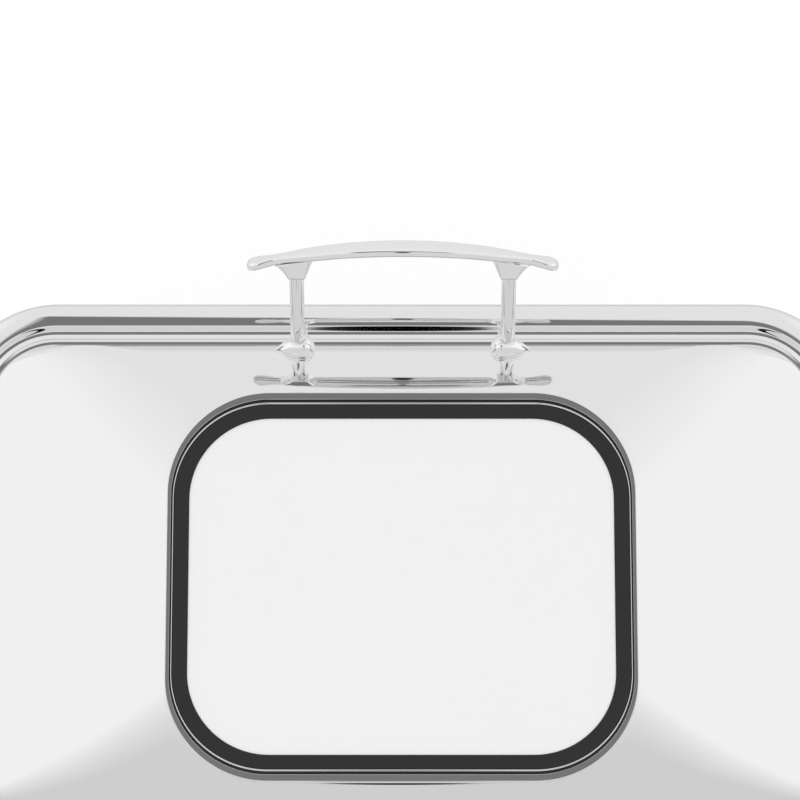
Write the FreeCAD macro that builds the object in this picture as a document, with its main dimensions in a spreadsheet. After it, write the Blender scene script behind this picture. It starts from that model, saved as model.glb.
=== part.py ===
import FreeCAD, Part

import math
import os
import re

import Sketcher

# Full-size chafing dish with a hinged window lid, in millimetres.
# X runs along the long side, the front with the lift handle is -Y, and +Z is up.
# The origin is on the table, below the centre of the water pan.
#
# Every size below stands alone. Fits and places are worked out from these cells.

SIZES = {
    # Drawn sheet
    "lid_sheet": 1.0,
    "water_sheet": 1.0,
    "food_sheet": 1.0,
    # Water pan: the well, and the stepped rim round it measured outward from the well's wall
    "well_width": 506.0,
    "well_depth": 301.0,
    "well_corner": 24.0,
    "well_height": 95.0,
    "well_bottom_round": 12.0,
    "seat_height": 250.0,
    "ledge_drop": 4.0,
    "ledge_reach": 14.0,
    "seat_reach": 26.5,
    "land_climb": 5.6,
    "land_rise": 1.1,
    "land_width": 5.1,
    "land_fall": 0.4,
    "lip_reach": 48.3,
    "lip_skirt": 1.7,
    # Food pan, which hangs by its flange in the water pan
    "food_flange_gap": 1.5,
    "food_wall_gap": 3.0,
    "food_draft": 8.0,
    "food_height": 65.0,
    "food_corner": 30.0,
    "food_bottom_round": 9.0,
    # Lid: a flat flange, a steep foot, a round shoulder and a flatter crown at the front, long side slopes
    "lid_lift": 1.0,
    "lid_edge_gap": 0.5,
    "lid_flange_width": 6.2,
    "lid_foot_height": 8.0,
    "lid_foot_slope": 70.0,
    "lid_shoulder_round": 45.0,
    "lid_turn_slope": 33.0,
    "lid_crown_round": 240.0,
    "lid_crown_slope": 26.5,
    "lid_side_power": 1.3,
    # Window: glass in a rubber gasket inside a polished trim ring, held by a clamp ring below
    "ring_side_width": 4.5,
    "ring_front_width": 8.2,
    "ring_height": 5.4,
    "ring_round": 1.2,
    "ring_corner": 66.0,
    "window_width": 294.0,
    "gasket_width": 9.0,
    "gasket_height": 4.8,
    "gasket_under": 0.8,
    "gasket_wall": 3.0,
    "glass_thickness": 3.0,
    "opening_inset": 6.0,
    "clamp_thickness": 2.0,
    "clamp_gap": 0.3,
    "stud_radius": 1.5,
    "stud_length": 7.0,
    "stud_corner_gap": 2.0,
    "stud_hole_gap": 0.2,
    "clamp_nut_radius": 3.2,
    "clamp_nut_height": 2.4,
    # Lift handle: two round posts square to the lid's front shoulder, and an arched flat grip
    "post_slope": 50.0,
    "post_spacing": 137.0,
    "post_radius": 4.3,
    "post_length": 53.0,
    "post_fit": 0.05,
    "skin_gap": 0.05,
    "spigot_radius": 3.0,
    "spigot_length": 6.0,
    "boss_tip": 15.0,
    "boss_half": 9.4,
    "boss_height": 8.0,
    "boss_tip_height": 2.2,
    "boss_skirt": 2.0,
    "boss_round": 1.5,
    "yoke_height": 14.0,
    "yoke_width": 24.0,
    "yoke_depth": 11.0,
    "yoke_neck": 10.4,
    "yoke_rise": 4.0,
    "yoke_flare_power": 2.2,
    "yoke_flat": 0.4,
    "grip_length": 202.0,
    "grip_width": 16.0,
    "grip_neck": 8.0,
    "grip_neck_place": 82.0,
    "grip_neck_round": 28.0,
    "grip_paddle": 12.0,
    "grip_thickness": 4.4,
    "grip_arch_round": 430.0,
    "grip_edge_round": 1.3,
    "handle_screw_radius": 2.5,
    "handle_screw_depth": 12.0,
    "handle_screw_tip_gap": 1.0,
    "handle_washer_radius": 9.0,
    "handle_washer_thickness": 1.5,
    "handle_nut_height": 3.5,
    "handle_nut_radius": 4.8,
    "bumper_radius": 2.6,
    "bumper_gap": 0.3,
    "bumper_place": 180.0,
    # Rear hinges
    "hinge_spacing": 250.0,
    "hinge_behind_lip": 12.0,
    "hinge_above_seat": 8.0,
    "knuckle_radius": 8.0,
    "knuckle_width": 30.0,
    "arm_thickness": 4.0,
    "arm_upper_slope": 36.0,
    "arm_lower_slope": 62.0,
    "arm_turn_slope": 46.0,
    "bush_wall": 1.2,
    "bush_fit": 0.04,
    "pin_radius": 3.0,
    "pin_head_radius": 4.6,
    "pin_head_height": 1.8,
    "disc_thickness": 1.0,
    "disc_gap": 0.1,
    "disc_inset": 0.5,
    "ear_thickness": 4.0,
    "ear_radius": 9.0,
    "bracket_arm_height": 8.0,
    "bracket_skirt_gap": 1.5,
    "bracket_plate": 4.0,
    "bracket_foot_drop": 7.0,
    "bracket_slot_gap": 1.5,
    "stop_gap": 0.3,
    "stop_wall": 4.0,
    "stop_rise": 4.0,
    # Stand
    "frame_gap": 1.5,
    "frame_sheet": 3.0,
    "frame_height": 30.0,
    "leg_place": 200.0,
    "leg_width": 28.0,
    "leg_thickness": 10.0,
    "leg_toe": 26.0,
    "leg_toe_thickness": 16.0,
    "leg_toe_height": 60.0,
    "leg_toe_tip": 3.0,
    "leg_top_gap": 1.0,
    "leg_top_round": 6.0,
    "leg_edge_round": 2.5,
    "pad_height": 9.0,
    "pad_radius": 7.5,
    "pad_draft": 1.2,
    "rail_height": 80.0,
    "rail_radius": 4.0,
    "shelf_sheet": 1.5,
    "shelf_depth": 124.0,
    "shelf_fold": 9.0,
    "shelf_side_gap": 0.3,
    "shelf_lip_inset": 12.0,
    "screw_radius": 2.5,
    "screw_hole_gap": 0.2,
    "screw_head_radius": 4.75,
    "screw_head_crown": 3.3,
    "screw_head_height": 2.8,
    "screw_reach": 6.0,
    "screw_tip_gap": 1.0,
    "bracket_screw_spacing": 22.0,
    # Fuel holders with swinging snuffer covers
    "cup_spacing": 220.0,
    "cup_radius": 45.0,
    "cup_sheet": 1.2,
    "cup_depth": 50.0,
    "cup_collar": 12.0,
    "cup_flange": 12.0,
    "cup_bottom_round": 6.0,
    "cup_hole_gap": 0.5,
    "cover_sheet": 1.5,
    "cover_gap": 0.3,
    "cover_overhang": 1.5,
    "cover_dish": 2.0,
    "cover_dish_radius": 28.0,
    "cover_dish_wall": 1.2,
    "cover_dish_taper": 30.0,
    "cover_ear_radius": 7.0,
    "cover_pin_radius": 3.0,
    "cover_pin_fit": 0.05,
    "cover_pin_shoulder": 4.0,
    "cover_pin_head": 4.8,
    "cover_pin_head_top": 3.8,
    "cover_pin_head_height": 2.0,
    "cover_pin_inset": 4.4,
    "knob_radius": 6.5,
    "knob_foot": 4.6,
    "knob_neck": 3.2,
    "knob_neck_low": 4.3,
    "knob_neck_high": 6.5,
    "knob_widest": 9.4,
    "knob_top": 5.0,
    "knob_height": 13.0,
    "knob_inset": 11.0,
}

# Places that follow from the sizes, as expressions on the cells

LEDGE = "(seat_height - ledge_drop)"
LID_WIDTH = "(well_width + 2 * (seat_reach - lid_edge_gap))"
LID_DEPTH = "(well_depth + 2 * (seat_reach - lid_edge_gap))"
SEAM_WIDTH = f"({LID_WIDTH} - 2 * lid_flange_width)"
SEAM_DEPTH = f"({LID_DEPTH} - 2 * lid_flange_width)"
LID_CORNER = "(well_corner + seat_reach - lid_edge_gap)"
SEAM_CORNER = f"({LID_CORNER} - lid_flange_width)"
LID_BASE = "(seat_height + lid_lift)"
FLANGE_TOP = f"({LID_BASE} + lid_sheet)"
LAND_END = "(seat_reach + land_climb + land_width)"
LIP_ROUND = f"(lip_reach - {LAND_END})"
LIP_BEND = f"(seat_height + land_rise - land_fall - {LIP_ROUND})"
LIP_LOW = f"({LIP_BEND} - lip_skirt)"
SHOULDER_RISE = "(lid_shoulder_round * (cos(lid_turn_slope) - cos(lid_foot_slope)))"
SHOULDER_RUN = "(lid_shoulder_round * (sin(lid_foot_slope) - sin(lid_turn_slope)))"
CROWN_RISE = "(lid_crown_round * (cos(lid_crown_slope) - cos(lid_turn_slope)))"
CROWN_RUN = "(lid_crown_round * (sin(lid_turn_slope) - sin(lid_crown_slope)))"
FOOT_RUN = "(lid_foot_height / tan(lid_foot_slope))"
FRONT_MARGIN = f"({FOOT_RUN} + {SHOULDER_RUN} + {CROWN_RUN})"
LID_RISE = f"(lid_foot_height + {SHOULDER_RISE} + {CROWN_RISE})"
LID_TOP = f"({FLANGE_TOP} + {LID_RISE})"
RING_WIDTH = "(window_width + 2 * ring_side_width)"
RING_DEPTH = f"({SEAM_DEPTH} - 2 * {FRONT_MARGIN})"
WINDOW_DEPTH = f"({RING_DEPTH} - 2 * ring_front_width)"
GASKET_CORNER = "(ring_corner - ring_side_width)"
SIDE_MARGIN = f"(({SEAM_WIDTH} - {RING_WIDTH}) / 2)"
SHOULDER_Y = f"({SEAM_DEPTH} / 2 - {FOOT_RUN} - lid_shoulder_round * sin(lid_foot_slope))"
SHOULDER_Z = f"({FLANGE_TOP} + lid_foot_height - lid_shoulder_round * cos(lid_foot_slope))"
PIVOT_Y = "(well_depth / 2 + lip_reach + hinge_behind_lip)"
PIVOT_Z = "(seat_height + hinge_above_seat)"
FRAME_IN_WIDTH = "(well_width + 2 * (water_sheet + frame_gap))"
FRAME_IN_DEPTH = "(well_depth + 2 * (water_sheet + frame_gap))"
FRAME_FACE = f"({FRAME_IN_DEPTH} / 2 + frame_sheet)"
FRAME_TOP = f"({LEDGE} - water_sheet)"
SHELF_TOP = "(rail_height + rail_radius + shelf_sheet)"
COVER_PIN_Y = "(cup_radius + cup_flange - cover_pin_inset)"
GRIP_SAG = "(grip_arch_round - sqrt(grip_arch_round^2 - post_spacing^2 / 4))"
GRIP_UNDER = f"(post_length + yoke_height + {GRIP_SAG})"
GRIP_DROP = "(grip_arch_round - sqrt(grip_arch_round^2 - grip_length^2 / 4))"

doc = FreeCAD.newDocument("chafing_dish")
sheet = doc.addObject("Spreadsheet::Sheet", "Sizes")
for row, (alias, value) in enumerate(SIZES.items(), start=1):
    sheet.set(f"A{row}", alias)
    sheet.set(f"B{row}", str(value))
    sheet.setAlias(f"B{row}", alias)
doc.recompute()

pieces = []


def cells(expression):
    """The expression with the sheet's name before each of its cells."""

    def named(word):
        return "Sizes." + word[0] if word[0] in SIZES else word[0]

    return re.sub(r"[a-z][a-z_]*", named, expression)


def number(expression):
    """What an expression on the cells comes to now."""
    return float(sheet.evalExpression(expression))


def bind(thing, target, expression):
    """Ties a property to an expression on the cells."""
    thing.setExpression(target, cells(expression))


def place(piece, x="0", y="0", z="0", axis=None, angle="0"):
    """Puts a sub-part where the expressions say, turned about one axis."""
    if axis is not None:
        turn = FreeCAD.Rotation(FreeCAD.Vector(*axis), number(angle))
        piece.Placement = FreeCAD.Placement(FreeCAD.Vector(), turn)
        bind(piece, "Placement.Rotation.Angle", angle)
    for letter, expression in zip("xyz", (x, y, z)):
        bind(piece, f"Placement.Base.{letter}", expression)


def new_body(label):
    """An empty sub-part that is built from sketches."""
    body = doc.addObject("PartDesign::Body", label)
    body.Label = label
    pieces.append(body)
    return body


def sketch_on(body, role, lift="0"):
    """A sketch on one of the body's own planes, lifted off it along its normal."""
    plane = [feature for feature in body.Origin.OriginFeatures if feature.Role == role][0]
    sketch = body.newObject("Sketcher::SketchObject", f"{body.Label}_sketch")
    sketch.AttachmentSupport = [(plane, "")]
    sketch.MapMode = "FlatFace"
    sketch.AttachmentOffset = FreeCAD.Placement(FreeCAD.Vector(0, 0, number(lift)), FreeCAD.Rotation())
    bind(sketch, "AttachmentOffset.Base.z", lift)
    return sketch


def fix_point(sketch, geometry, end, x, y):
    """Holds one end of a line or arc at a place given by two expressions."""
    for kind, expression in (("DistanceX", x), ("DistanceY", y)):
        index = sketch.addConstraint(Sketcher.Constraint(kind, -1, 1, geometry, end, number(expression)))
        bind(sketch, f"Constraints[{index}]", expression)


def outline(sketch, points, arcs=None):
    """Draws a closed outline through points. arcs gives the side from a point to the next a radius.

    A positive radius turns left on the way, anticlockwise, and a negative one turns right.
    """
    arcs = arcs or {}
    places = [FreeCAD.Vector(number(x), number(y), 0) for x, y in points]
    ends = []
    for side, start in enumerate(places):
        stop = places[(side + 1) % len(points)]
        if side not in arcs:
            geometry = sketch.addGeometry(Part.LineSegment(start, stop), False)
            ends.append((geometry, 1, 2))
            continue
        left = not arcs[side].startswith("-")
        size = arcs[side].lstrip("-")
        radius = number(size)
        chord = stop - start
        half = chord.Length / 2
        normal = FreeCAD.Vector(-chord.y, chord.x, 0).normalize() * (1 if left else -1)
        centre = (start + stop) / 2 + normal * math.sqrt(max(radius * radius - half * half, 0))
        from_start = math.atan2(start.y - centre.y, start.x - centre.x)
        from_stop = math.atan2(stop.y - centre.y, stop.x - centre.x)
        circle = Part.Circle(centre, FreeCAD.Vector(0, 0, 1), radius)
        first, last = (from_start, from_stop) if left else (from_stop, from_start)
        geometry = sketch.addGeometry(Part.ArcOfCircle(circle, first, last), False)
        ends.append((geometry, 1, 2) if left else (geometry, 2, 1))
        index = sketch.addConstraint(Sketcher.Constraint("Radius", geometry, radius))
        bind(sketch, f"Constraints[{index}]", size)
    for side, (geometry, first, last) in enumerate(ends):
        fix_point(sketch, geometry, first, *points[side])
        other, its_first, _ = ends[(side + 1) % len(ends)]
        sketch.addConstraint(Sketcher.Constraint("Coincident", geometry, last, other, its_first))
    return sketch


def circle(sketch, x, y, radius):
    """Draws a circle."""
    centre = FreeCAD.Vector(number(x), number(y), 0)
    ring = Part.Circle(centre, FreeCAD.Vector(0, 0, 1), number(radius))
    geometry = sketch.addGeometry(ring, False)
    fix_point(sketch, geometry, 3, x, y)
    index = sketch.addConstraint(Sketcher.Constraint("Radius", geometry, number(radius)))
    bind(sketch, f"Constraints[{index}]", radius)
    return sketch


def rounded_rectangle(sketch, width, depth, corner):
    """Draws a rectangle with round corners about the sketch's origin.

    It starts in the middle of its front side, so that a profile there can follow it.
    """
    flat_x, flat_y = f"({width} / 2 - {corner})", f"({depth} / 2 - {corner})"
    end_x, end_y = f"({width} / 2)", f"({depth} / 2)"
    points = [
        ("0", f"-{end_y}"),
        (flat_x, f"-{end_y}"),
        (end_x, f"-{flat_y}"),
        (end_x, flat_y),
        (flat_x, end_y),
        (f"-{flat_x}", end_y),
        (f"-{end_x}", flat_y),
        (f"-{end_x}", f"-{flat_y}"),
        (f"-{flat_x}", f"-{end_y}"),
    ]
    return outline(sketch, points, {1: corner, 3: corner, 5: corner, 7: corner})


def feature(body, kind, sketch, **settings):
    """Adds a feature made from one sketch. Settings given as text are expressions on the cells."""
    made = body.newObject(f"PartDesign::{kind}", f"{body.Label}_{kind.lower()}")
    made.Profile = sketch
    for name, setting in settings.items():
        if isinstance(setting, str):
            bind(made, name, setting)
        else:
            setattr(made, name, setting)
    return made


def pad(body, sketch, length, **settings):
    """Adds a prism."""
    return feature(body, "Pad", sketch, Length=length, **settings)


def pocket(body, sketch, length, **settings):
    """Cuts a prism away, and makes sure that it took something."""
    doc.recompute()
    before = body.Shape.Volume
    made = feature(body, "Pocket", sketch, Length=length, **settings)
    doc.recompute()
    if not body.Shape.Volume < before:
        raise ValueError(f"a pocket in {body.Label} cuts nothing")
    return made


def revolution(body, sketch):
    """Turns a profile about the sketch's own upright axis."""
    return feature(body, "Revolution", sketch, ReferenceAxis=(sketch, ["V_Axis"]), Angle=360)


def loft(body, sketches, kind="AdditiveLoft"):
    """Joins sections with one smooth skin."""
    made = feature(body, kind, sketches[0])
    made.Sections = sketches[1:]
    return made


def pipe(body, profile, path):
    """Sweeps a profile along a path."""
    made = feature(body, "AdditivePipe", profile)
    made.Spine = path
    return made


def edges_where(body, test):
    """Names of the edges of the body's present shape that pass a test."""
    doc.recompute()
    return [f"Edge{place}" for place, edge in enumerate(body.Shape.Edges, start=1) if test(edge)]


def fillet(body, test, radius):
    """Rounds the edges that pass a test."""
    names = edges_where(body, test)
    made = body.newObject("PartDesign::Fillet", f"{body.Label}_fillet")
    made.Base = (body.Tip if body.Tip != made else made.BaseFeature, names)
    bind(made, "Radius", radius)
    doc.recompute()
    return made


CLOSE = 0.01


def level(edge, height):
    """Does the edge lie at one height of the body's own frame?"""
    box = edge.BoundBox
    return abs(box.ZMin - height) < CLOSE and abs(box.ZMax - height) < CLOSE


def upright(edge):
    """Does the edge lie in one plane across the X axis?"""
    return edge.BoundBox.XLength < CLOSE


def out(reach):
    """Sketch abscissa of a point that far outside the well's wall, on the front side."""
    return f"-(well_depth / 2 + {reach})"


def make_water_pan():
    """Deep-drawn water pan with a stepped rim: ledge, lid seat, soft rise, flat land and rolled lip."""
    body = new_body("water_pan")
    path = rounded_rectangle(sketch_on(body, "XY_Plane", LEDGE), "well_width", "well_depth", "well_corner")
    climb_end = "(seat_reach + land_climb)"
    climb_middle = "(seat_reach + land_climb / 2)"
    climb_round = "((land_climb^2 + land_rise^2) / (4 * land_rise))"
    upper = [
        ("0", LEDGE),
        ("ledge_reach", LEDGE),
        ("ledge_reach", "seat_height"),
        ("seat_reach", "seat_height"),
        (climb_middle, "(seat_height + land_rise / 2)"),
        (climb_end, "(seat_height + land_rise)"),
        (LAND_END, "(seat_height + land_rise - land_fall)"),
        ("lip_reach", LIP_BEND),
        ("lip_reach", LIP_LOW),
    ]
    lower = [
        ("(lip_reach - water_sheet)", LIP_LOW),
        ("(lip_reach - water_sheet)", LIP_BEND),
        (LAND_END, "(seat_height + land_rise - land_fall - water_sheet)"),
        (climb_end, "(seat_height + land_rise - water_sheet)"),
        (climb_middle, "(seat_height + land_rise / 2 - water_sheet)"),
        ("seat_reach", "(seat_height - water_sheet)"),
        ("(ledge_reach + water_sheet)", "(seat_height - water_sheet)"),
        ("(ledge_reach + water_sheet)", f"({LEDGE} - water_sheet)"),
        ("0", f"({LEDGE} - water_sheet)"),
    ]
    arcs = {
        3: f"-{climb_round}",
        4: climb_round,
        6: LIP_ROUND,
        10: f"-({LIP_ROUND} - water_sheet)",
        12: f"-{climb_round}",
        13: climb_round,
    }
    profile = sketch_on(body, "YZ_Plane")
    outline(profile, [(out(reach), height) for reach, height in upper + lower], arcs)
    pipe(body, profile, path)
    bottom = f"({LEDGE} - well_height)"
    well = sketch_on(body, "XY_Plane", bottom)
    rounded_rectangle(
        well,
        "(well_width + 2 * water_sheet)",
        "(well_depth + 2 * water_sheet)",
        "(well_corner + water_sheet)",
    )
    pad(body, well, "well_height")
    inside = sketch_on(body, "XY_Plane", LEDGE)
    rounded_rectangle(inside, "well_width", "well_depth", "well_corner")
    pocket(body, inside, "(well_height - water_sheet)")
    floor = number(f"{bottom} + water_sheet")
    fillet(body, lambda edge: level(edge, floor), "(well_bottom_round - water_sheet)")
    fillet(body, lambda edge: level(edge, number(bottom)), "well_bottom_round")


def make_food_pan():
    """Standard full-size food pan with drafted walls, hung by its flange on the water pan's ledge."""
    body = new_body("food_pan")
    flange_top = f"({LEDGE} + food_sheet)"
    bottom = f"({flange_top} - food_height)"

    def section(height, inset):
        width = f"(well_width - 2 * (food_wall_gap + {inset}))"
        depth = f"(well_depth - 2 * (food_wall_gap + {inset}))"
        return rounded_rectangle(sketch_on(body, "XY_Plane", height), width, depth, "food_corner")

    loft(body, [section(flange_top, "0"), section(bottom, "food_draft")])
    flange = rounded_rectangle(
        sketch_on(body, "XY_Plane", LEDGE),
        "(well_width + 2 * (ledge_reach - food_flange_gap))",
        "(well_depth + 2 * (ledge_reach - food_flange_gap))",
        "(well_corner + ledge_reach - food_flange_gap)",
    )
    pad(body, flange, "food_sheet")
    floor = f"({bottom} + food_sheet)"
    inner = [section(flange_top, "food_sheet"), section(floor, "(food_sheet + food_draft)")]
    loft(body, inner, "SubtractiveLoft")
    fillet(body, lambda edge: level(edge, number(floor)), "(food_bottom_round - food_sheet)")
    fillet(body, lambda edge: level(edge, number(bottom)), "food_bottom_round")


SHOULDER_STEPS = 5
CROWN_STEPS = 3


def lid_levels():
    """Height above the flange and distance inside the seam of each level outline, up shoulder and crown."""
    levels = []
    for step in range(SHOULDER_STEPS + 1):
        slope = f"(lid_foot_slope + (lid_turn_slope - lid_foot_slope) * {step} / {SHOULDER_STEPS})"
        rise = f"(lid_foot_height + lid_shoulder_round * (cos({slope}) - cos(lid_foot_slope)))"
        inset = f"({FOOT_RUN} + lid_shoulder_round * (sin(lid_foot_slope) - sin({slope})))"
        levels.append((rise, inset))
    for step in range(1, CROWN_STEPS + 1):
        slope = f"(lid_turn_slope + (lid_crown_slope - lid_turn_slope) * {step} / {CROWN_STEPS})"
        rise = f"(lid_foot_height + {SHOULDER_RISE} + lid_crown_round * (cos({slope}) - cos(lid_turn_slope)))"
        inset = f"({FOOT_RUN} + {SHOULDER_RUN} + lid_crown_round * (sin(lid_turn_slope) - sin({slope})))"
        levels.append((rise, inset))
    return levels


def lid_section(body, height, front_inset, side_inset, share, shrink, lift):
    """One level outline of the lid's skin, or of its inner skin where shrink and lift are set."""
    width = f"({SEAM_WIDTH} - 2 * ({side_inset} + {shrink}))"
    depth = f"({SEAM_DEPTH} - 2 * ({front_inset} + {shrink}))"
    corner = f"({SEAM_CORNER} + (ring_corner - {SEAM_CORNER}) * {share} - {shrink})"
    return rounded_rectangle(sketch_on(body, "XY_Plane", f"({height} + {lift})"), width, depth, corner)


def lid_sections(body, shrink="0", lift="0"):
    """Level outlines from the seam up to the window's seat."""
    sections = [lid_section(body, FLANGE_TOP, "0", "0", "0", shrink, lift)]
    for rise, front_inset in lid_levels():
        share = f"({rise} / {LID_RISE})"
        side_inset = f"({SIDE_MARGIN} * {share} ^ lid_side_power)"
        height = f"({FLANGE_TOP} + {rise})"
        sections.append(lid_section(body, height, front_inset, side_inset, share, shrink, lift))
    return sections


def place_on_shoulder(piece, x, drop="0"):
    """Stands a sub-part on the lid's front shoulder, its own Z square to the skin."""
    y = f"-({SHOULDER_Y} + (lid_shoulder_round - {drop}) * sin(post_slope))"
    z = f"({SHOULDER_Z} + (lid_shoulder_round - {drop}) * cos(post_slope))"
    place(piece, x, y, z, (1, 0, 0), "post_slope")


def cylinder(label, radius, height):
    """A plain cylinder along its own Z."""
    made = doc.addObject("Part::Cylinder", label)
    bind(made, "Radius", radius)
    bind(made, "Height", height)
    return made


def cut(label, base, tools):
    """A sub-part with other solids taken out of it."""
    tool = tools[0]
    if len(tools) > 1:
        tool = doc.addObject("Part::MultiFuse", f"{label}_tools")
        tool.Shapes = tools
    made = doc.addObject("Part::Cut", label)
    made.Base = base
    made.Tool = tool
    made.Label = label
    pieces.append(made)
    return made


def group(label, members):
    """Loose pieces of one kind that share a node."""
    made = doc.addObject("Part::Compound", label)
    made.Links = members
    made.Label = label
    pieces.append(made)
    return made


STUD_Y = f"({RING_DEPTH} / 2 - ring_front_width / 2)"
STUD_X = f"({RING_WIDTH} / 2 - ring_corner - stud_corner_gap)"
STUD_PLACES = [(x, y) for x in (f"-{STUD_X}", "0", STUD_X) for y in (f"-{STUD_Y}", STUD_Y)]
SIDES = {"left": "-", "right": ""}


def make_lid_shell():
    """Drawn lid: steep front, long side slopes, a flat flange, the window's opening and screw holes."""
    body = doc.addObject("PartDesign::Body", "lid_blank")
    body.Label = "lid_blank"
    flange = rounded_rectangle(sketch_on(body, "XY_Plane", LID_BASE), LID_WIDTH, LID_DEPTH, LID_CORNER)
    pad(body, flange, "lid_sheet")
    loft(body, lid_sections(body))
    loft(body, lid_sections(body, "lid_sheet", "-lid_sheet"), "SubtractiveLoft")
    opening = rounded_rectangle(
        sketch_on(body, "XY_Plane", LID_TOP),
        "(window_width - 2 * opening_inset)",
        f"({WINDOW_DEPTH} - 2 * opening_inset)",
        f"({GASKET_CORNER} - opening_inset)",
    )
    pocket(body, opening, "(2 * lid_sheet)")
    holes = sketch_on(body, "XY_Plane", LID_TOP)
    for x, y in STUD_PLACES:
        circle(holes, x, y, "(stud_radius + stud_hole_gap)")
    pocket(body, holes, "(2 * lid_sheet)")
    drills = []
    drill_radius = "(handle_screw_radius + screw_hole_gap)"
    for side, sign in SIDES.items():
        drill = cylinder(f"handle_drill_{side}", drill_radius, "8 * lid_sheet")
        place_on_shoulder(drill, f"{sign}post_spacing / 2", "4 * lid_sheet")
        drills.append(drill)
    return cut("lid_shell", body, drills)


def make_window():
    """Trim ring with welded studs, rubber gasket, glass pane, clamp ring and its nuts."""
    ring = new_body("window_trim_ring")
    studs = sketch_on(ring, "XY_Plane", LID_TOP)
    for x, y in STUD_PLACES:
        circle(studs, x, y, "stud_radius")
    blank = rounded_rectangle(sketch_on(ring, "XY_Plane", LID_TOP), RING_WIDTH, RING_DEPTH, "ring_corner")
    pad(ring, blank, "ring_height")
    ring_top = f"({LID_TOP} + ring_height)"
    crown = number(ring_top)
    fillet(ring, lambda edge: level(edge, crown), "ring_round")
    hole = sketch_on(ring, "XY_Plane", ring_top)
    rounded_rectangle(hole, "window_width", WINDOW_DEPTH, GASKET_CORNER)
    pocket(ring, hole, "2 * ring_height")
    pad(ring, studs, "stud_length", Reversed=True)

    gasket = new_body("window_gasket")
    blank = sketch_on(gasket, "XY_Plane", LID_TOP)
    rounded_rectangle(blank, "window_width", WINDOW_DEPTH, GASKET_CORNER)
    pad(gasket, blank, "gasket_height")
    gasket_top = f"({LID_TOP} + gasket_height)"
    sight = rounded_rectangle(
        sketch_on(gasket, "XY_Plane", gasket_top),
        "(window_width - 2 * gasket_width)",
        f"({WINDOW_DEPTH} - 2 * gasket_width)",
        f"({GASKET_CORNER} - gasket_width)",
    )
    pocket(gasket, sight, "2 * gasket_height")
    pane_size = (
        "(window_width - 2 * gasket_wall)",
        f"({WINDOW_DEPTH} - 2 * gasket_wall)",
        f"({GASKET_CORNER} - gasket_wall)",
    )
    glass_top = f"({LID_TOP} + gasket_under + glass_thickness)"
    groove = rounded_rectangle(sketch_on(gasket, "XY_Plane", glass_top), *pane_size)
    pocket(gasket, groove, "glass_thickness")

    glass = new_body("window_glass")
    pane = rounded_rectangle(sketch_on(glass, "XY_Plane", f"({LID_TOP} + gasket_under)"), *pane_size)
    pad(glass, pane, "glass_thickness")

    clamp = new_body("window_clamp_ring")
    clamp_top = f"({LID_TOP} - lid_sheet)"
    shrink = "(lid_sheet + clamp_gap)"
    blank = rounded_rectangle(
        sketch_on(clamp, "XY_Plane", clamp_top),
        f"({RING_WIDTH} - 2 * {shrink})",
        f"({RING_DEPTH} - 2 * {shrink})",
        f"(ring_corner - {shrink})",
    )
    pad(clamp, blank, "clamp_thickness", Reversed=True)
    opening = rounded_rectangle(
        sketch_on(clamp, "XY_Plane", clamp_top),
        "(window_width - 2 * opening_inset)",
        f"({WINDOW_DEPTH} - 2 * opening_inset)",
        f"({GASKET_CORNER} - opening_inset)",
    )
    for x, y in STUD_PLACES:
        circle(opening, x, y, "(stud_radius + stud_hole_gap)")
    pocket(clamp, opening, "2 * clamp_thickness")

    nuts = []
    for place_number, (x, y) in enumerate(STUD_PLACES, start=1):
        nut = doc.addObject("Part::Prism", f"clamp_nut_{place_number}")
        nut.Polygon = 6
        bind(nut, "Circumradius", "clamp_nut_radius")
        bind(nut, "Height", "clamp_nut_height")
        bore = cylinder(f"clamp_nut_bore_{place_number}", "stud_radius", "clamp_nut_height")
        threaded = doc.addObject("Part::Cut", f"clamp_nut_threaded_{place_number}")
        threaded.Base = nut
        threaded.Tool = bore
        place(threaded, x, y, f"({LID_TOP} - lid_sheet - clamp_thickness - clamp_nut_height)")
        nuts.append(threaded)
    group("clamp_nuts", nuts)


def mirrored(points, arcs, sign):
    """The outline, or its mirror image across the upright axis where the sign is a minus."""
    if not sign:
        return points, arcs
    flipped = {}
    for side, radius in arcs.items():
        flipped[side] = radius[1:] if radius.startswith("-") else f"-{radius}"
    return [(f"-{x}", y) for x, y in points], flipped


def shoulder_trim(body):
    """Cuts away what lies below the lid's curved skin, in the frame of a part standing on it."""
    skin = sketch_on(body, "YZ_Plane")
    circle(skin, "0", "-lid_shoulder_round", "(lid_shoulder_round + skin_gap)")
    pocket(body, skin, "4 * boss_tip", Midplane=True)


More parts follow.
